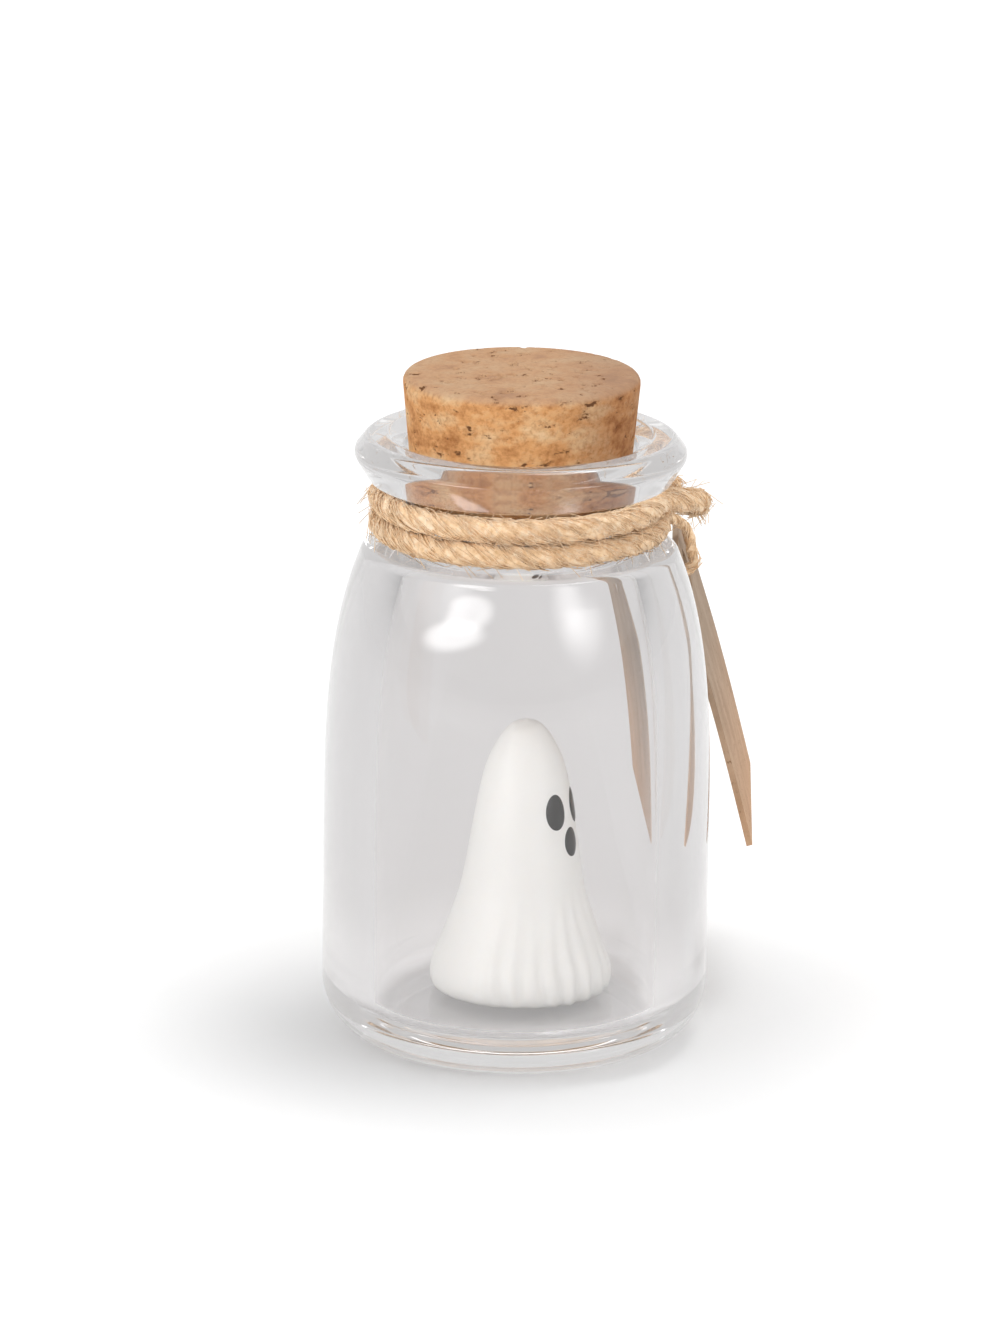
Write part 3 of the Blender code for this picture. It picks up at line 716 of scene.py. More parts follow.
def bottle_outline():
    """Outline of the bottle's wall, from the middle of the base round to the middle of the floor."""
    widest = RIM_HEIGHT - LIP_CROWN_HEIGHT
    under_lip = widest - LIP_FLARE_HEIGHT
    seat_depth = (MOUTH_RADIUS - BORE_RADIUS) / math.tan(CORK_TAPER)
    corner_share = 1.0 - 2.0 * SHOULDER_CORNER / (SHOULDER_HEIGHT - STRAIGHT_HEIGHT)
    return rounded_outline([
        (0.0, 0.0, 0.0),
        (BODY_RADIUS, 0.0, HEEL_RADIUS),
        *drawn_side(BODY_RADIUS, SHOULDER_DRAW, SHOULDER_HEIGHT, corner_share),
        (BODY_RADIUS - SHOULDER_DRAW, SHOULDER_HEIGHT, SHOULDER_CORNER),
        (NECK_RADIUS, SHOULDER_HEIGHT, NECK_FILLET),
        (NECK_RADIUS, under_lip, NECK_FILLET),
        (LIP_FOOT_RADIUS, under_lip, LIP_FOOT_FILLET),
        (LIP_RADIUS, widest, LIP_FILLET),
        (LIP_CROWN_RADIUS, RIM_HEIGHT, LIP_FILLET),
        (MOUTH_RADIUS + FUNNEL_WIDTH, RIM_HEIGHT, LIP_FILLET),
        (MOUTH_RADIUS, MOUTH_HEIGHT, MOUTH_ROUND),
        (BORE_RADIUS, MOUTH_HEIGHT - seat_depth, 0.0),
        *reversed(drawn_side(CAVITY_RADIUS, CAVITY_RADIUS - BORE_RADIUS, CAVITY_TOP, 1.0)),
        (CAVITY_RADIUS, FLOOR_THICKNESS, INNER_HEEL_RADIUS),
        (0.0, FLOOR_THICKNESS, 0.0),
    ], FILLET_STEPS)


class BOTTLE_OT_glass(bpy.types.Operator):
    """Make the bottle's fine glass wall"""
    bl_idname = "bottle.glass"
    bl_label = "Glass"

    def execute(self, context):
        settings = context.scene.bottle.glass
        material = make_soda_glass(settings)
        glass = spun_object("glass_wall", bottle_outline(), settings.segments, material, GLASS_CREASE)
        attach(glass, "bottle")
        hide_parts("glass_bottle")
        return {"FINISHED"}


def cork_pits_tree():
    """Sinks irregular pits into a surface, longer across the cork than along it."""
    tree, entry = new_tree("cork_pits", Pit_Depth="Float", Pit_Size="Float")
    place = add_node(tree, "GeometryNodeInputPosition")
    stretch = (1.0, 1.0, PIT_FLATNESS)
    flattened = add_node(tree, "ShaderNodeVectorMath", (place, stretch), operation="MULTIPLY")
    noise = add_node(tree, "ShaderNodeTexNoise", {
        "Vector": flattened, "Scale": formula(tree, 1.0, "DIVIDE", entry["Pit Size"]),
        "Detail": PIT_DETAIL, "Roughness": PIT_ROUGHNESS,
    })
    mask = add_node(tree, "ShaderNodeMapRange", (noise, 0.34, 0.42, -1.0, 0.0), **SMOOTH)
    depth = formula(tree, mask, "MULTIPLY", entry["Pit Depth"])
    return end_moved(tree, entry, add_node(tree, "GeometryNodeInputNormal"), depth)


def cork_outline():
    """Outline of the tapered cork with evenly spaced points for its pits."""
    low = MOUTH_HEIGHT - CORK_SUNK
    high = MOUTH_HEIGHT + CORK_STANDING
    slope = math.tan(CORK_TAPER)
    low_radius = MOUTH_RADIUS - GAP - CORK_SUNK * slope
    high_radius = MOUTH_RADIUS - GAP + CORK_STANDING * slope
    edges = [(low_radius, low, CORK_EDGE), (high_radius, high, CORK_EDGE)]
    outline = rounded_outline([(0.0, low, 0.0), *edges, (0.0, high, 0.0)], steps=5)
    spaced = [outline[0]]
    for before, here in zip(outline, outline[1:]):
        steps = max(1, round((here - before).length / CORK_CELL))
        spaced += [before.lerp(here, step / steps) for step in range(1, steps + 1)]
    return spaced


class BOTTLE_OT_cork(bpy.types.Operator):
    """Make the cork with its pits"""
    bl_idname = "bottle.cork"
    bl_label = "Cork"

    def execute(self, context):
        settings = context.scene.bottle.cork
        material = make_cork_material(settings)
        cork = spun_object("pitted_cork", cork_outline(), CORK_SEGMENTS, material, CORK_CREASE)
        cork.data = apply_tree(cork, cork_pits_tree(), {
            "Pit Depth": settings.pit_depth, "Pit Size": PIT_SIZE, "Material": material,
        })
        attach(cork, "cork")
        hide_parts("cork_stopper")
        return {"FINISHED"}


def ghost_radius(level):
    """Radius of the ghost at a share of its height, on a smooth curve through its profile."""
    table = GHOST_PROFILE_SHARES
    for index in range(len(table) - 1):
        if level <= table[index + 1][0]:
            break
    before = table[max(index - 1, 0)]
    start = table[index]
    end = table[index + 1]
    after = table[min(index + 2, len(table) - 1)]
    t = (level - start[0]) / (end[0] - start[0])
    low_slope = (end[1] - before[1]) / (end[0] - before[0]) * (end[0] - start[0])
    high_slope = (after[1] - start[1]) / (after[0] - start[0]) * (end[0] - start[0])
    share = (
        (2.0 * t ** 3 - 3.0 * t ** 2 + 1.0) * start[1] + (t ** 3 - 2.0 * t ** 2 + t) * low_slope
        + (3.0 * t ** 2 - 2.0 * t ** 3) * end[1] + (t ** 3 - t ** 2) * high_slope
    )
    return share * GHOST_RADIUS


def ghost_pleats_tree():
    """Folds a turned figure's surface into pleats that are deepest at the hem and fade upwards."""
    tree, entry = new_tree("ghost_pleats", Pleats="Float", Pleat_Depth="Float", Pleat_Top="Float")
    place = add_node(tree, "GeometryNodeInputPosition")
    parts = add_node(tree, "ShaderNodeSeparateXYZ", {"Vector": place}).outputs
    noise = add_node(tree, "ShaderNodeTexNoise", {"Vector": place, "Scale": PLEAT_NOISE_SCALE, "Detail": 1.0})
    uneven = formula(tree, noise, "SUBTRACT", 0.5)
    drift = formula(tree, uneven, "MULTIPLY", PLEAT_DRIFT)
    strength = formula(tree, uneven, "MULTIPLY", 5.0, "ADD", 0.7, "MAXIMUM", 0.1)
    angle = formula(tree, parts["Y"], "ARCTAN2", parts["X"])
    wave = formula(tree, angle, "MULTIPLY", entry["Pleats"], "ADD", drift, "COSINE", None)
    climbed = formula(tree, parts["Z"], "DIVIDE", entry["Pleat Top"])
    fade = formula(tree, 1.0, "SUBTRACT", climbed, "MAXIMUM", 0.0, "POWER", PLEAT_FADE)
    facing = formula(tree, angle, "SUBTRACT", PLAIN_AZIMUTH, "COSINE", None)
    fullness = add_node(tree, "ShaderNodeMapRange", (facing, 0.35, 0.9, 1.0, 0.2), **SMOOTH)
    depth = wave
    for share in (fade, fullness, strength, entry["Pleat Depth"]):
        depth = formula(tree, depth, "MULTIPLY", share)
    level = add_node(tree, "ShaderNodeCombineXYZ", (parts["X"], parts["Y"]))
    outward = add_node(tree, "ShaderNodeVectorMath", (level,), operation="NORMALIZE")
    return end_moved(tree, entry, outward, depth)


def ghost_place():
    """Matrix from the ghost's own frame, face along +X, to its place in the bottle."""
    lean = Matrix.Identity(4)
    lean[0][2] = GHOST_LEAN
    return Matrix.Translation(GHOST_PLACE) @ lean @ Matrix.Rotation(GHOST_FACING, 4, "Z")


def enamel_spot(name, size, level, azimuth, material):
    """Oval film of enamel on the ghost's face, domed by a few hundredths of a millimetre."""
    vertices = []
    for front in (True, False):
        for ring in range(FILM_RINGS + 1):
            share = ring / FILM_RINGS
            lift = FILM_THICKNESS * (1.0 - share ** 6) if front else -FILM_SINK
            for side in range(FILM_SIDES):
                angle = FULL_TURN * side / FILM_SIDES
                across = size[0] / 2.0 * share * math.cos(angle)
                up = level + size[1] / 2.0 * share * math.sin(angle)
                around = azimuth + across / ghost_radius(level / GHOST_HEIGHT)
                vertices.append(polar(ghost_radius(up / GHOST_HEIGHT) + lift, around, up))
    faces = []
    edge = FILM_RINGS * FILM_SIDES
    layer = edge + FILM_SIDES
    for base in (0, layer):
        for ring in range(base, base + edge, FILM_SIDES):
            faces += ring_faces(ring, ring + FILM_SIDES, FILM_SIDES)
    faces += ring_faces(edge, layer + edge, FILM_SIDES)
    spot = dress_mesh(new_mesh(name, vertices, faces), material, GHOST_CREASE)
    spot.data.transform(ghost_place())
    clean_normals(spot)
    return spot


class BOTTLE_OT_ghost(bpy.types.Operator):
    """Make the glazed ghost and its enamel face"""
    bl_idname = "bottle.ghost"
    bl_label = "Ghost"

    def execute(self, context):
        settings = context.scene.bottle.ghost
        glaze = make_glaze_material(settings)
        enamel = make_enamel_material(settings)
        outline = [Vector((0.0, 0.0))]
        for row in range(GHOST_ROWS):
            level = math.sin(math.pi / 2.0 * row / GHOST_ROWS)
            outline.append(Vector((ghost_radius(level), level * GHOST_HEIGHT)))
        outline.append(Vector((0.0, GHOST_HEIGHT)))
        ghost = spun_object("glazed_ghost", outline, GHOST_SEGMENTS, glaze, GHOST_CREASE)
        ghost.data = apply_tree(ghost, ghost_pleats_tree(), {
            "Pleats": float(settings.pleats), "Pleat Depth": settings.pleat_depth,
            "Pleat Top": 0.5 * GHOST_HEIGHT, "Material": glaze,
        })
        ghost.data.transform(ghost_place())
        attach(ghost, "ghost")
        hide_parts("ghost_figurine")
        spots = (
            ("left_eye", EYE_SIZE, EYE_LEVEL, EYE_SPREAD, "ghost_left_eye"),
            ("right_eye", EYE_SIZE, EYE_LEVEL, -EYE_SPREAD, "ghost_right_eye"),
            ("open_mouth", OPEN_MOUTH_SIZE, OPEN_MOUTH_LEVEL, 0.0, "ghost_mouth"),
        )
        for name, size, level, azimuth, node in spots:
            spot = enamel_spot(name, size, level, azimuth, enamel)
            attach(spot, "ghost")
            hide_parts(node)
        return {"FINISHED"}


def smooth_step(share):
    """Ease from 0 to 1."""
    share = min(max(share, 0.0), 1.0)
    return share * share * (3.0 - 2.0 * share)


def knot_frame():
    """The knot's middle, the direction along the twine there, outwards, and the turns' radius."""
    ring = (NECK_RADIUS + GAP + TWINE_DIAMETER / 2.0) / math.cos(math.pi / LOOP_POINTS)
    outward = polar(1.0, KNOT_AZIMUTH)
    centre = outward * (ring + TWINE_DIAMETER / 2.0 + GAP + KNOT_RADIUS + STRAND_GAP / 2.0)
    centre.z = KNOT_LEVEL
    return centre, Vector((-outward.y, outward.x, 0.0)), outward, ring


def winding_route():
    """Two level turns round the neck, whose ends pass over the turns and run straight into the knot."""
    centre, along, _, ring = knot_frame()
    reach = KNOT_LENGTH / 2.0 + GAP
    straight = TWINE_DIAMETER
    out_radius = math.hypot(centre.x, centre.y)
    end_angle = math.atan2(reach + straight, out_radius)
    rise = math.hypot(reach + straight, out_radius) - ring
    total = FULL_TURN * TWINE_TURNS
    steps = LOOP_POINTS * TWINE_TURNS + 4
    points = []
    for step in range(steps + 1):
        swept = end_angle + (total - 2.0 * end_angle) * step / steps
        climb = smooth_step(0.5 + (swept - total / 2.0) / (2.0 * LEAD_ANGLE))
        height = TWINE_LEVEL - TWINE_PITCH / 2.0 + TWINE_PITCH * climb
        out = ring
        for distance, side in ((swept, -1.0), (total - swept, 1.0)):
            if distance < LEAD_ANGLE:
                lead = math.pi / 2.0 * smooth_step((LEAD_ANGLE - distance) / (LEAD_ANGLE - end_angle))
                out = ring + rise * math.sin(lead)
                edge = TWINE_LEVEL + side * TWINE_PITCH / 2.0
                height = edge + (centre.z - edge) * (1.0 - math.cos(lead))
        points.append(polar(out, KNOT_AZIMUTH + swept, height))
    entry = centre + along * reach
    leaving = centre - along * reach
    return [entry, entry + along * straight] + points[1:-1] + [leaving - along * straight, leaving]


def knot_route():
    """Wraps round the knot's axis."""
    centre, along, outward, _ = knot_frame()
    points = []
    for step in range(KNOT_STEPS + 1):
        share = step / KNOT_STEPS
        belly = 1.0 - 0.1 * (2.0 * share - 1.0) ** 2
        out = (KNOT_RADIUS - KNOT_TWINE_RADIUS) * belly
        slide = (share - 0.5) * (KNOT_LENGTH - 2.0 * KNOT_TWINE_RADIUS)
        angle = FULL_TURN * KNOT_WRAPS * share + KNOT_START
        points.append(centre + along * slide + swing(outward, UP, angle) * out)
    return points


def fibres_tree():
    """Bast fibres on a strand: each lies slanted on its surface, and one end may lift off it."""
    tree, entry = new_tree(
        "jute_fibres", Count="Int", Strand_Radius="Float", Fibre_Radius="Float", Fibre_Length="Float",
        Slant="Float", Lift="Float", Seed="Int",
    )
    on_curve = {"Curve": entry["Geometry"], "Count": entry["Count"]}
    spots = add_node(tree, "GeometryNodeCurveToPoints", on_curve, mode="COUNT").outputs
    radius = entry["Strand Radius"]
    half = formula(tree, entry["Fibre Length"], "MULTIPLY", 0.5)
    rise = formula(tree, half, "MULTIPLY", formula(tree, entry["Slant"], "COSINE", None))
    sweep = formula(tree, half, "MULTIPLY", formula(tree, entry["Slant"], "SINE", None))
    back = formula(tree, sweep, "MULTIPLY", -1.0)
    down = formula(tree, rise, "MULTIPLY", -1.0)
    bends = (
        (formula(tree, radius, "MULTIPLY", 0.72), back, down),
        (formula(tree, radius, "MULTIPLY", 1.22),),
        (formula(tree, radius, "MULTIPLY", 0.8, "ADD", entry["Lift"]), sweep, rise),
    )
    start, middle, end = (add_node(tree, "ShaderNodeCombineXYZ", bend) for bend in bends)
    fibre = add_node(tree, "GeometryNodeCurveQuadraticBezier", {
        "Resolution": 6, "Start": start, "Middle": middle, "End": end,
    })
    turn = add_node(tree, "FunctionNodeRandomValue", {
        "Min": (-0.16, -0.1, 0.0), "Max": (0.16, 0.1, FULL_TURN), "Seed": entry["Seed"],
    }, data_type="FLOAT_VECTOR")
    size = add_node(tree, "FunctionNodeRandomValue", {
        "Min": (0.9, 0.9, 0.55), "Max": (1.1, 1.1, 1.35), "Seed": formula(tree, entry["Seed"], "ADD", 7.0),
    }, data_type="FLOAT_VECTOR")
    turned = add_node(tree, "FunctionNodeRotateRotation", {
        "Rotation": spots["Rotation"], "Rotate By": turn,
    }, rotation_space="LOCAL")
    placed = add_node(tree, "GeometryNodeInstanceOnPoints", {
        "Points": spots["Points"], "Instance": fibre, "Rotation": turned, "Scale": size,
    })
    loose = add_node(tree, "GeometryNodeRealizeInstances", {"Geometry": placed})
    ring = add_node(tree, "GeometryNodeCurvePrimitiveCircle", {
        "Resolution": 3, "Radius": entry["Fibre Radius"],
    })
    solid = add_node(tree, "GeometryNodeCurveToMesh", {
        "Curve": loose, "Profile Curve": ring, "Fill Caps": True,
    })
    return end_tree(tree, solid, entry["Material"])


def join_meshes(name, meshes):
    """One object of jute from several meshes."""
    shape = bmesh.new()
    for mesh in meshes:
        shape.from_mesh(mesh)
        bpy.data.meshes.remove(mesh)
    mesh = bpy.data.meshes.new(name)
    shape.to_mesh(mesh)
    shape.free()
    return dress_mesh(mesh, bpy.data.materials["twisted_jute"])


def fibre_mesh(path, values):
    """Mesh of the fibres that their tree grows along a path."""
    curve = bpy.data.curves.new("route", "CURVE")
    curve.dimensions = "3D"
    spline = curve.splines.new("POLY")
    spline.points.add(len(path) - 1)
    for point, place in zip(spline.points, path):
        point.co = (*place, 1.0)
    route = place_object("route", curve)
    mesh = apply_tree(route, bpy.data.node_groups["jute_fibres"], values)
    bpy.data.objects.remove(route)
    return mesh


def hairy_strand(name, path, radius, fibre_radius, seed, lying, loose, lay, plies=3):
    """A twisted strand with lying fibres and loose hairs, both counted per metre."""
    length = path_lengths(path)[-1]
    common = {"Strand Radius": radius, "Material": bpy.data.materials["twisted_jute"]}
    fibres = {
        "Count": int(length * lying), "Fibre Length": 2.6 * radius, "Slant": 0.5, "Lift": 0.0, "Seed": seed,
        "Fibre Radius": fibre_radius,
    }
    hairs = {
        "Count": int(length * loose), "Fibre Length": 2.9 * radius, "Slant": 0.9, "Lift": 0.9 * radius,
        "Seed": seed + 1, "Fibre Radius": fibre_radius * 0.6,
    }
    meshes = [strand_mesh(path, radius, lay, plies, random.Random(seed))]
    meshes += [fibre_mesh(path, {**common, **values}) for values in (fibres, hairs)]
    return join_meshes(name, meshes)


def frayed_tail(name, start, heading, settings, seed):
    """A cut end of twine: short plies, then a few fibres that spread and droop."""
    rng = random.Random(seed)
    side = heading.cross(UP).normalized()
    rise = side.cross(heading).normalized()
    path = smooth_path([start, start + heading * (TAIL_LENGTH * 0.5), start + heading * TAIL_LENGTH], 8)
    plies = strand_mesh(path, TAIL_RADIUS, KNOT_LAY, 3, rng, TAIL_TAPER)
    vertices = []
    faces = []
    for _ in range(settings.end_fibres):
        spread = rng.gauss(0.0, FRAY_SPREAD)
        lift = rng.gauss(FRAY_LIFT, FRAY_SPREAD)
        aim = (heading + side * spread + rise * lift).normalized()
        away = (side * rng.uniform(-1.0, 1.0) + rise * rng.uniform(-1.0, 1.0)) * (TAIL_RADIUS * 0.6)
        root = start + heading * (TAIL_LENGTH * rng.uniform(0.3, 0.8)) + away
        reach = TAIL_LENGTH * rng.uniform(0.8, 2.0)
        droop = rng.uniform(0.1, 0.6) * reach
        fibre = smooth_path([root, root + aim * (reach * 0.5), root + aim * reach - UP * droop], steps=4)
        more, more_faces = tube_mesh(
            fibre, lambda share: settings.fibre_radius * (1.1 - 0.6 * share), sides=3, start=len(vertices)
        )
        vertices += more
        faces += more_faces
    return join_meshes(name, [plies, new_mesh("fibres", vertices, faces)])


class BOTTLE_OT_twine(bpy.types.Operator):
    """Make the jute winding, its knot and its frayed ends"""
    bl_idname = "bottle.twine"
    bl_label = "Twine"

    def execute(self, context):
        settings = context.scene.bottle.twine
        make_jute_material(settings)
        fibres_tree()
        route = smooth_path(winding_route(), steps=8)
        winding = hairy_strand(
            "jute_winding", route, TWINE_DIAMETER / 2.0, settings.fibre_radius,
            seed=11, lying=21000.0, loose=2200.0, lay=settings.lay_length,
        )
        wraps = smooth_path(knot_route(), steps=2)
        knot = hairy_strand(
            "jute_knot", wraps, KNOT_TWINE_RADIUS, settings.fibre_radius,
            seed=23, lying=15000.0, loose=1500.0, lay=KNOT_LAY,
        )
        pieces = [(winding, "twine_winding"), (knot, "twine_knot")]
        centre, along, outward, _ = knot_frame()
        tails = (
            ("jute_end_upper", 1.0, UPPER_TAIL_RISE, 31, "twine_tail_upper"),
            ("jute_end_lower", -1.0, LOWER_TAIL_RISE, 37, "twine_tail_lower"),
        )
        for name, side, rise, seed, node in tails:
            heading = swing(swing(outward, along * side, TAIL_SPREAD), UP, rise)
            start = centre + along * (side * TWINE_DIAMETER / 2.0) + heading * (KNOT_RADIUS - STRAND_GAP)
            pieces.append((frayed_tail(name, start, heading.normalized(), settings, seed), node))
        for piece, node in pieces:
            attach(piece, "bottle")
            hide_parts(node)
        return {"FINISHED"}


def tag_frame():
    """Matrix from the pivot's frame to the world; the card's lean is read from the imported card."""
    centre, along, outward, _ = knot_frame()
    place = centre + along * TIE_ALONG_KNOT + outward * TIE_OUTWARD
    place.z = centre.z - math.sqrt(KNOT_RADIUS ** 2 - TIE_OUTWARD ** 2) - STRAND_GAP - TIE_DIAMETER / 2.0
    largest = max(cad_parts["paper_tag"].data.polygons, key=lambda face: face.area)
    lean = math.asin(abs(largest.normal.z))
    return Matrix.Translation(place) @ Matrix.Rotation(-TAG_TURN, 4, "Z") @ Matrix.Rotation(-lean, 4, "Y")


def tag_point(across, down, out=0.0):
    """A point of the card in the pivot's frame; down is measured from the hole, along the card."""
    side = TAG_HOLE_SHIFT + across * math.cos(TAG_TILT) + down * math.sin(TAG_TILT)
    up = -TIE_LENGTH + across * math.sin(TAG_TILT) - down * math.cos(TAG_TILT)
    return Vector((TAG_STANDOFF + out, side, up))


def card_mesh(bow):
    """Card with clipped upper corners and a punched hole, slightly bowed."""
    half = TAG_WIDTH / 2.0
    above = -TAG_ABOVE_HOLE
    corners = [
        (half, TAG_BELOW_HOLE), (-half, TAG_BELOW_HOLE), (-half, above + TAG_CLIP),
        (-half + TAG_CLIP, above), (half - TAG_CLIP, above), (half, above + TAG_CLIP),
    ]
    shape = bmesh.new()
    rim = []
    for start, end in zip(corners, corners[1:] + corners[:1]):
        steps = max(1, round(math.dist(start, end) / TAG_CELL))
        rim += [Vector(start).lerp(Vector(end), step / steps).to_3d() for step in range(steps)]
    hole = [polar(TAG_HOLE_RADIUS, FULL_TURN * step / TAG_HOLE_SIDES) for step in range(TAG_HOLE_SIDES)]
    loops = [[shape.verts.new(place) for place in loop] for loop in (rim, hole)]
    edges = []
    for loop in loops:
        edges += [shape.edges.new(pair) for pair in zip(loop, loop[1:] + loop[:1])]
    bmesh.ops.triangle_fill(shape, use_beauty=True, use_dissolve=False, edges=edges)
    for _ in range(2):
        long_edges = [edge for edge in shape.edges if edge.calc_length() > TAG_LONGEST_EDGE]
        bmesh.ops.subdivide_edges(shape, edges=long_edges, cuts=2, use_grid_fill=True)
        bmesh.ops.triangulate(shape, faces=shape.faces[:])
    raised = bmesh.ops.extrude_face_region(shape, geom=shape.faces[:])
    moved = [item for item in raised["geom"] if isinstance(item, bmesh.types.BMVert)]
    bmesh.ops.translate(shape, verts=moved, vec=(0.0, 0.0, TAG_THICKNESS))
    place = tag_frame()
    for vertex in shape.verts:
        across, down, out = vertex.co
        share = (down + TAG_ABOVE_HOLE) / (TAG_BELOW_HOLE + TAG_ABOVE_HOLE)
        bend = bow * (math.sin(math.pi * share) - 0.5) * smooth_step(share * 2.0)
        vertex.co = place @ tag_point(across, down, out - TAG_THICKNESS / 2.0 + bend)
    bmesh.ops.recalc_face_normals(shape, faces=shape.faces)
    mesh = bpy.data.meshes.new("kraft_tag")
    shape.to_mesh(mesh)
    shape.free()
    return mesh


def tie_route():
    """Loop from the knot, down behind the card, through its hole and up in front."""
    clear = TAG_THICKNESS / 2.0 + GAP + TIE_DIAMETER / 2.0
    behind = TAG_STANDOFF - clear
    ahead = TAG_STANDOFF + clear
    hole = tag_point(0.0, 0.0)
    head = tag_point(0.0, -TAG_ABOVE_HOLE)
    middle = (head + hole) / 2.0
    lift = TIE_DIAMETER / 2.0
    return [
        Vector((0.0, -TIE_SPACING / 2.0, 0.0)),
        Vector((behind, head.y - TIE_SPACING / 4.0, head.z + lift)),
        Vector((behind, middle.y, middle.z)),
        Vector((behind, hole.y, hole.z + lift)),
        Vector((TAG_STANDOFF - clear / 2.0, hole.y, hole.z)),
        Vector((TAG_STANDOFF + clear / 2.0, hole.y, hole.z)),
        Vector((ahead, hole.y, hole.z + lift)),
        Vector((ahead, middle.y, middle.z)),
        Vector((ahead, head.y + TIE_SPACING / 4.0, head.z + lift)),
        Vector((0.0, TIE_SPACING / 2.0, 0.0)),
    ]


class BOTTLE_OT_tag(bpy.types.Operator):
    """Make the card tag and its tie, from the jute and the fibres that Twine has made"""
    bl_idname = "bottle.tag"
    bl_label = "Tag"

    def execute(self, context):
        settings = context.scene.bottle
        card = make_card_material(settings.tag)
        tag = dress_mesh(card_mesh(settings.tag.bow), card, TAG_CREASE)
        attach(tag, "tag")
        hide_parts("paper_tag")
        place = tag_frame()
        route = smooth_path([place @ point for point in tie_route()], steps=6)
        tie = hairy_strand(
            "jute_tie", route, TIE_DIAMETER / 2.0, settings.twine.fibre_radius,
            seed=41, lying=12000.0, loose=900.0, lay=TIE_LAY, plies=2,
        )
        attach(tie, "tag")
        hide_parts("tag_tie")
        return {"FINISHED"}


def seen_directly(tree, paths):
    """Socket that is 1 for what the camera sees in the open or in gloss."""
    return formula(tree, paths["Is Camera Ray"], "MAXIMUM", paths["Is Glossy Ray"])


def seen_through_glass(tree, paths):
    """Socket that is 1 for what the camera sees through glass, and 0 for light that falls on things in it."""
    first = formula(tree, paths["Diffuse Depth"], "LESS_THAN", 0.5)
    return formula(tree, paths["Is Transmission Ray"], "MULTIPLY", first)


def make_world(settings):
    """White surroundings: full white to the camera and in gloss, plainer through glass and as light."""
    world = bpy.data.worlds.new("studio")
    world.use_nodes = True
    tree = world.node_tree
    paths = add_node(tree, "ShaderNodeLightPath").outputs
    inputs = {"Factor": seen_directly(tree, paths), "A": settings.ambient, "B": 1.0}
    plain = add_node(tree, "ShaderNodeMix", inputs)
    inputs = {"Factor": seen_through_glass(tree, paths), "A": plain, "B": settings.through}
    strength = add_node(tree, "ShaderNodeMix", inputs)
    fill_inputs(tree, tree.nodes["Background"], {"Color": WHITE, "Strength": strength})
    return world


def make_floor_material(settings):
    """Matt white sweep: it keeps the shadow, and a little glow lifts it to white for the camera."""
    def inputs(tree):
        paths = add_node(tree, "ShaderNodeLightPath").outputs
        through = seen_through_glass(tree, paths)
        place = add_node(tree, "ShaderNodeTexCoord").outputs["Object"]
        distance = add_node(tree, "ShaderNodeVectorMath", (place,), operation="LENGTH")
        # Painted shade and light: the glow fades out towards the bottle, darkening a ring of floor round it,
        # and a painted glow lifts the floor seen through the base.
        away = add_node(tree, "ShaderNodeMapRange", (distance, BODY_RADIUS, 3.0 * BODY_RADIUS), **SMOOTH)
        lift = add_node(tree, "ShaderNodeMapRange", (
            distance, 5.0 * BODY_RADIUS, 40.0 * BODY_RADIUS, settings.glow, settings.far_glow,
        ))
        open_glow = formula(tree, away, "MULTIPLY", lift, "MULTIPLY", seen_directly(tree, paths))
        under = formula(tree, 1.0, "SUBTRACT", away, "MULTIPLY", settings.glow_under)
        glow = add_node(tree, "ShaderNodeMix", {"Factor": through, "A": open_glow, "B": under})
        return {
            "Base Color": colour_layers(tree, settings.floor, (through, settings.floor_through, "MIX")),
            "Roughness": 0.9, "Specular IOR Level": 0.0, "Emission Color": WHITE, "Emission Strength": glow,
        }
    return new_material("matt_white_sweep", inputs)


def add_softbox(name, power, azimuth, elevation, distance, size, roll=0.0, core=0.18):
    """Oval lamp aimed at the shoulder, evenly bright in its core; angles are in degrees, azimuth from +X."""
    lamp = bpy.data.lights.new(name, "AREA")
    lamp.shape = "ELLIPSE"
    lamp.size, lamp.size_y = size
    lamp.energy = power
    lamp.use_nodes = True
    tree = lamp.node_tree
    place = add_node(tree, "ShaderNodeNewGeometry").outputs["Parametric"]
    middle = add_node(tree, "ShaderNodeVectorMath", (place, (0.5, 0.5, 0.0)), operation="DISTANCE")
    fade = add_node(tree, "ShaderNodeMapRange", (middle, core, 0.5, LAMP_PEAK, 0.0), **SMOOTH)
    fill_inputs(tree, tree.nodes["Emission"], {"Strength": fade})
    item = place_object(name, lamp)
    level = math.cos(elevation * DEGREE)
    item.location = LAMP_TARGET + polar(level, azimuth * DEGREE, math.sin(elevation * DEGREE)) * distance
    item.rotation_euler = (LAMP_TARGET - item.location).to_track_quat("-Z", "Y").to_euler()
    item.rotation_euler.rotate_axis("Z", roll * DEGREE)


def add_camera(scene):
    """Camera at the photograph's angle: 16 degrees down, from the front, with a long lens."""
    camera = bpy.data.cameras.new("camera")
    camera.sensor_fit = "VERTICAL"
    camera.sensor_height = SENSOR_HEIGHT
    camera.lens = CAMERA_LENS
    camera.clip_start = CAMERA_NEAREST
    forward = Vector((0.0, math.cos(CAMERA_DOWN), -math.sin(CAMERA_DOWN)))
    up = Vector((0.0, math.sin(CAMERA_DOWN), math.cos(CAMERA_DOWN)))
    right = Vector((1.0, 0.0, 0.0))
    turned = (swing(right, up, CAMERA_ROLL), swing(up, -right, CAMERA_ROLL), -forward)
    item = place_object("camera", camera)
    place = Matrix.Translation(CAMERA_TARGET - forward * CAMERA_DISTANCE)
    item.matrix_world = place @ Matrix(turned).transposed().to_4x4()
    scene.camera = item


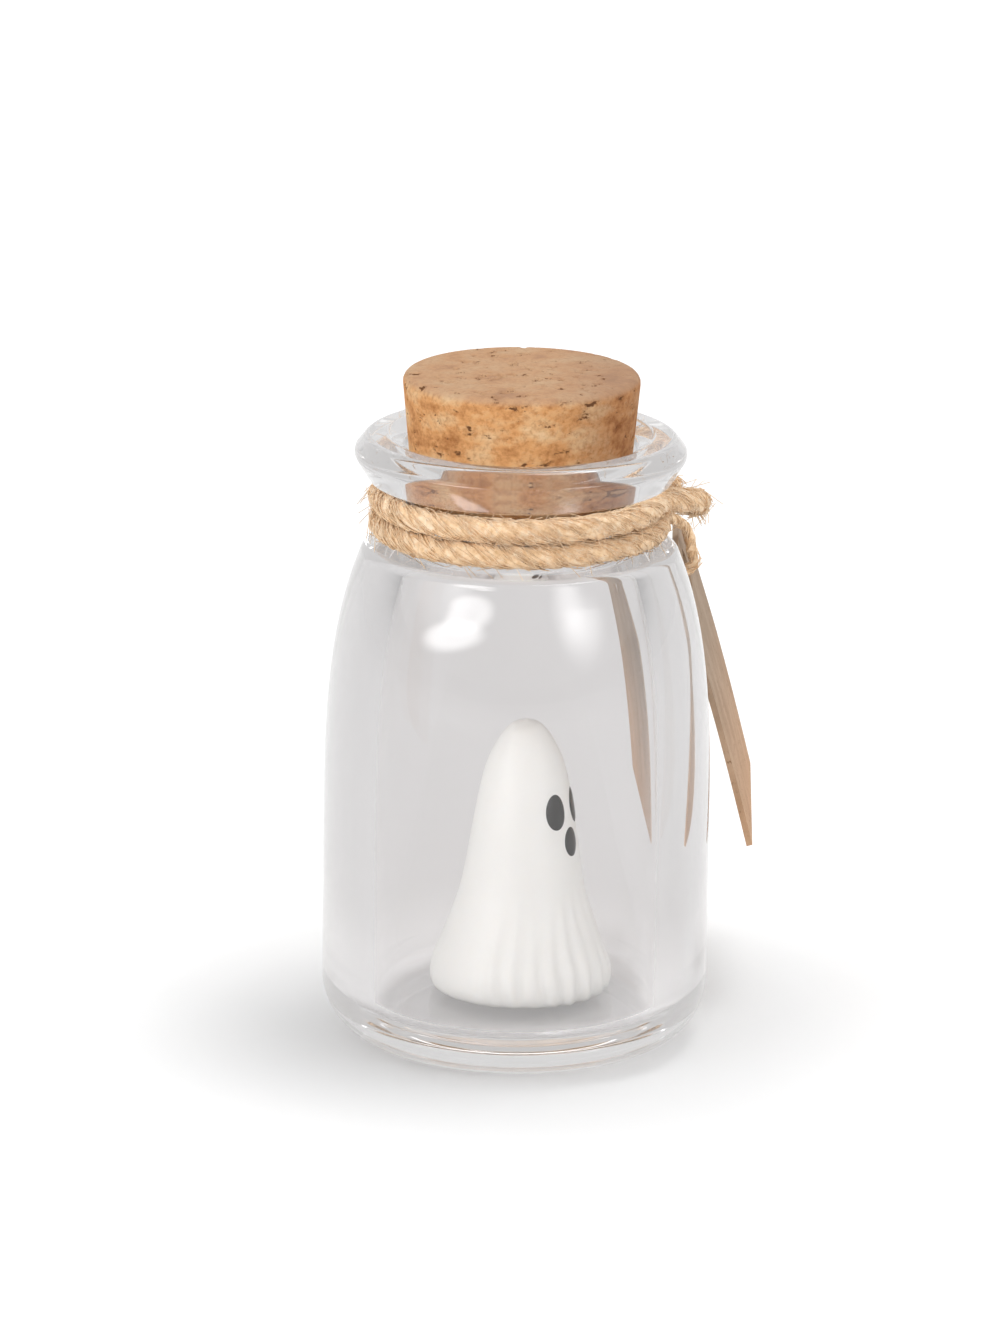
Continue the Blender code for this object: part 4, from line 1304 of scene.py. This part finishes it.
class BOTTLE_OT_stage(bpy.types.Operator):
    """Make the floor, the lamps, the surroundings and the camera"""
    bl_idname = "bottle.stage"
    bl_label = "Stage"

    def execute(self, context):
        settings = context.scene.bottle.stage
        context.scene.world = make_world(settings)
        corners = [(x * FLOOR_REACH, y * FLOOR_REACH, 0.0) for x, y in ((-1, -1), (1, -1), (1, 1), (-1, 1))]
        floor = dress_mesh(new_mesh("sweep", corners, [(0, 1, 2, 3)]), make_floor_material(settings))
        floor.location.z = -FLOOR_DROP
        add_softbox(
            "strip_light", settings.strip_power, azimuth=227.0, elevation=12.0, distance=0.5,
            size=(0.46, 0.085), roll=9.0, core=0.22,
        )
        add_softbox(
            "fill_light", settings.fill_power, azimuth=313.0, elevation=15.0, distance=0.5,
            size=(0.34, 0.22), core=0.02,
        )
        add_softbox(
            "key_softbox", settings.key_power, azimuth=212.0, elevation=28.0, distance=0.8, size=(0.7, 0.7)
        )
        add_softbox(
            "top_softbox", settings.top_power, azimuth=8.0, elevation=75.0, distance=0.6, size=(0.4, 0.4)
        )
        add_camera(context.scene)
        context.scene.view_settings.view_transform = "Standard"
        return {"FINISHED"}


class BOTTLE_PT_panel(bpy.types.Panel):
    """Lists the bottle's operators and settings"""
    bl_idname = "BOTTLE_PT_panel"
    bl_label = "Corked Bottle"
    bl_space_type = "VIEW_3D"
    bl_region_type = "UI"
    bl_category = "Bottle"

    def draw(self, context):
        settings = context.scene.bottle
        for part in PARTS:
            box = self.layout.box()
            box.operator("bottle." + part)
            group = getattr(settings, part)
            for name in group.__annotations__:
                box.prop(group, name)


PARTS = ("stage", "glass", "cork", "ghost", "twine", "tag")

CLASSES = (
    GlassSettings, CorkSettings, GhostSettings, TwineSettings, TagSettings, StageSettings, BottleSettings,
    BOTTLE_OT_glass, BOTTLE_OT_cork, BOTTLE_OT_ghost, BOTTLE_OT_twine, BOTTLE_OT_tag, BOTTLE_OT_stage,
    BOTTLE_PT_panel,
)


def register():
    """Register the classes and the settings."""
    for item in CLASSES:
        bpy.utils.register_class(item)
    bpy.types.Scene.bottle = PointerProperty(type=BottleSettings)


def unregister():
    """Remove the settings and the classes."""
    del bpy.types.Scene.bottle
    for item in reversed(CLASSES):
        bpy.utils.unregister_class(item)


def main():
    """Make the stage and every piece."""
    register()
    bpy.ops.bottle.stage()
    bpy.ops.bottle.glass()
    bpy.ops.bottle.cork()
    bpy.ops.bottle.ghost()
    bpy.ops.bottle.twine()
    bpy.ops.bottle.tag()


if __name__ == "__main__":
    main()
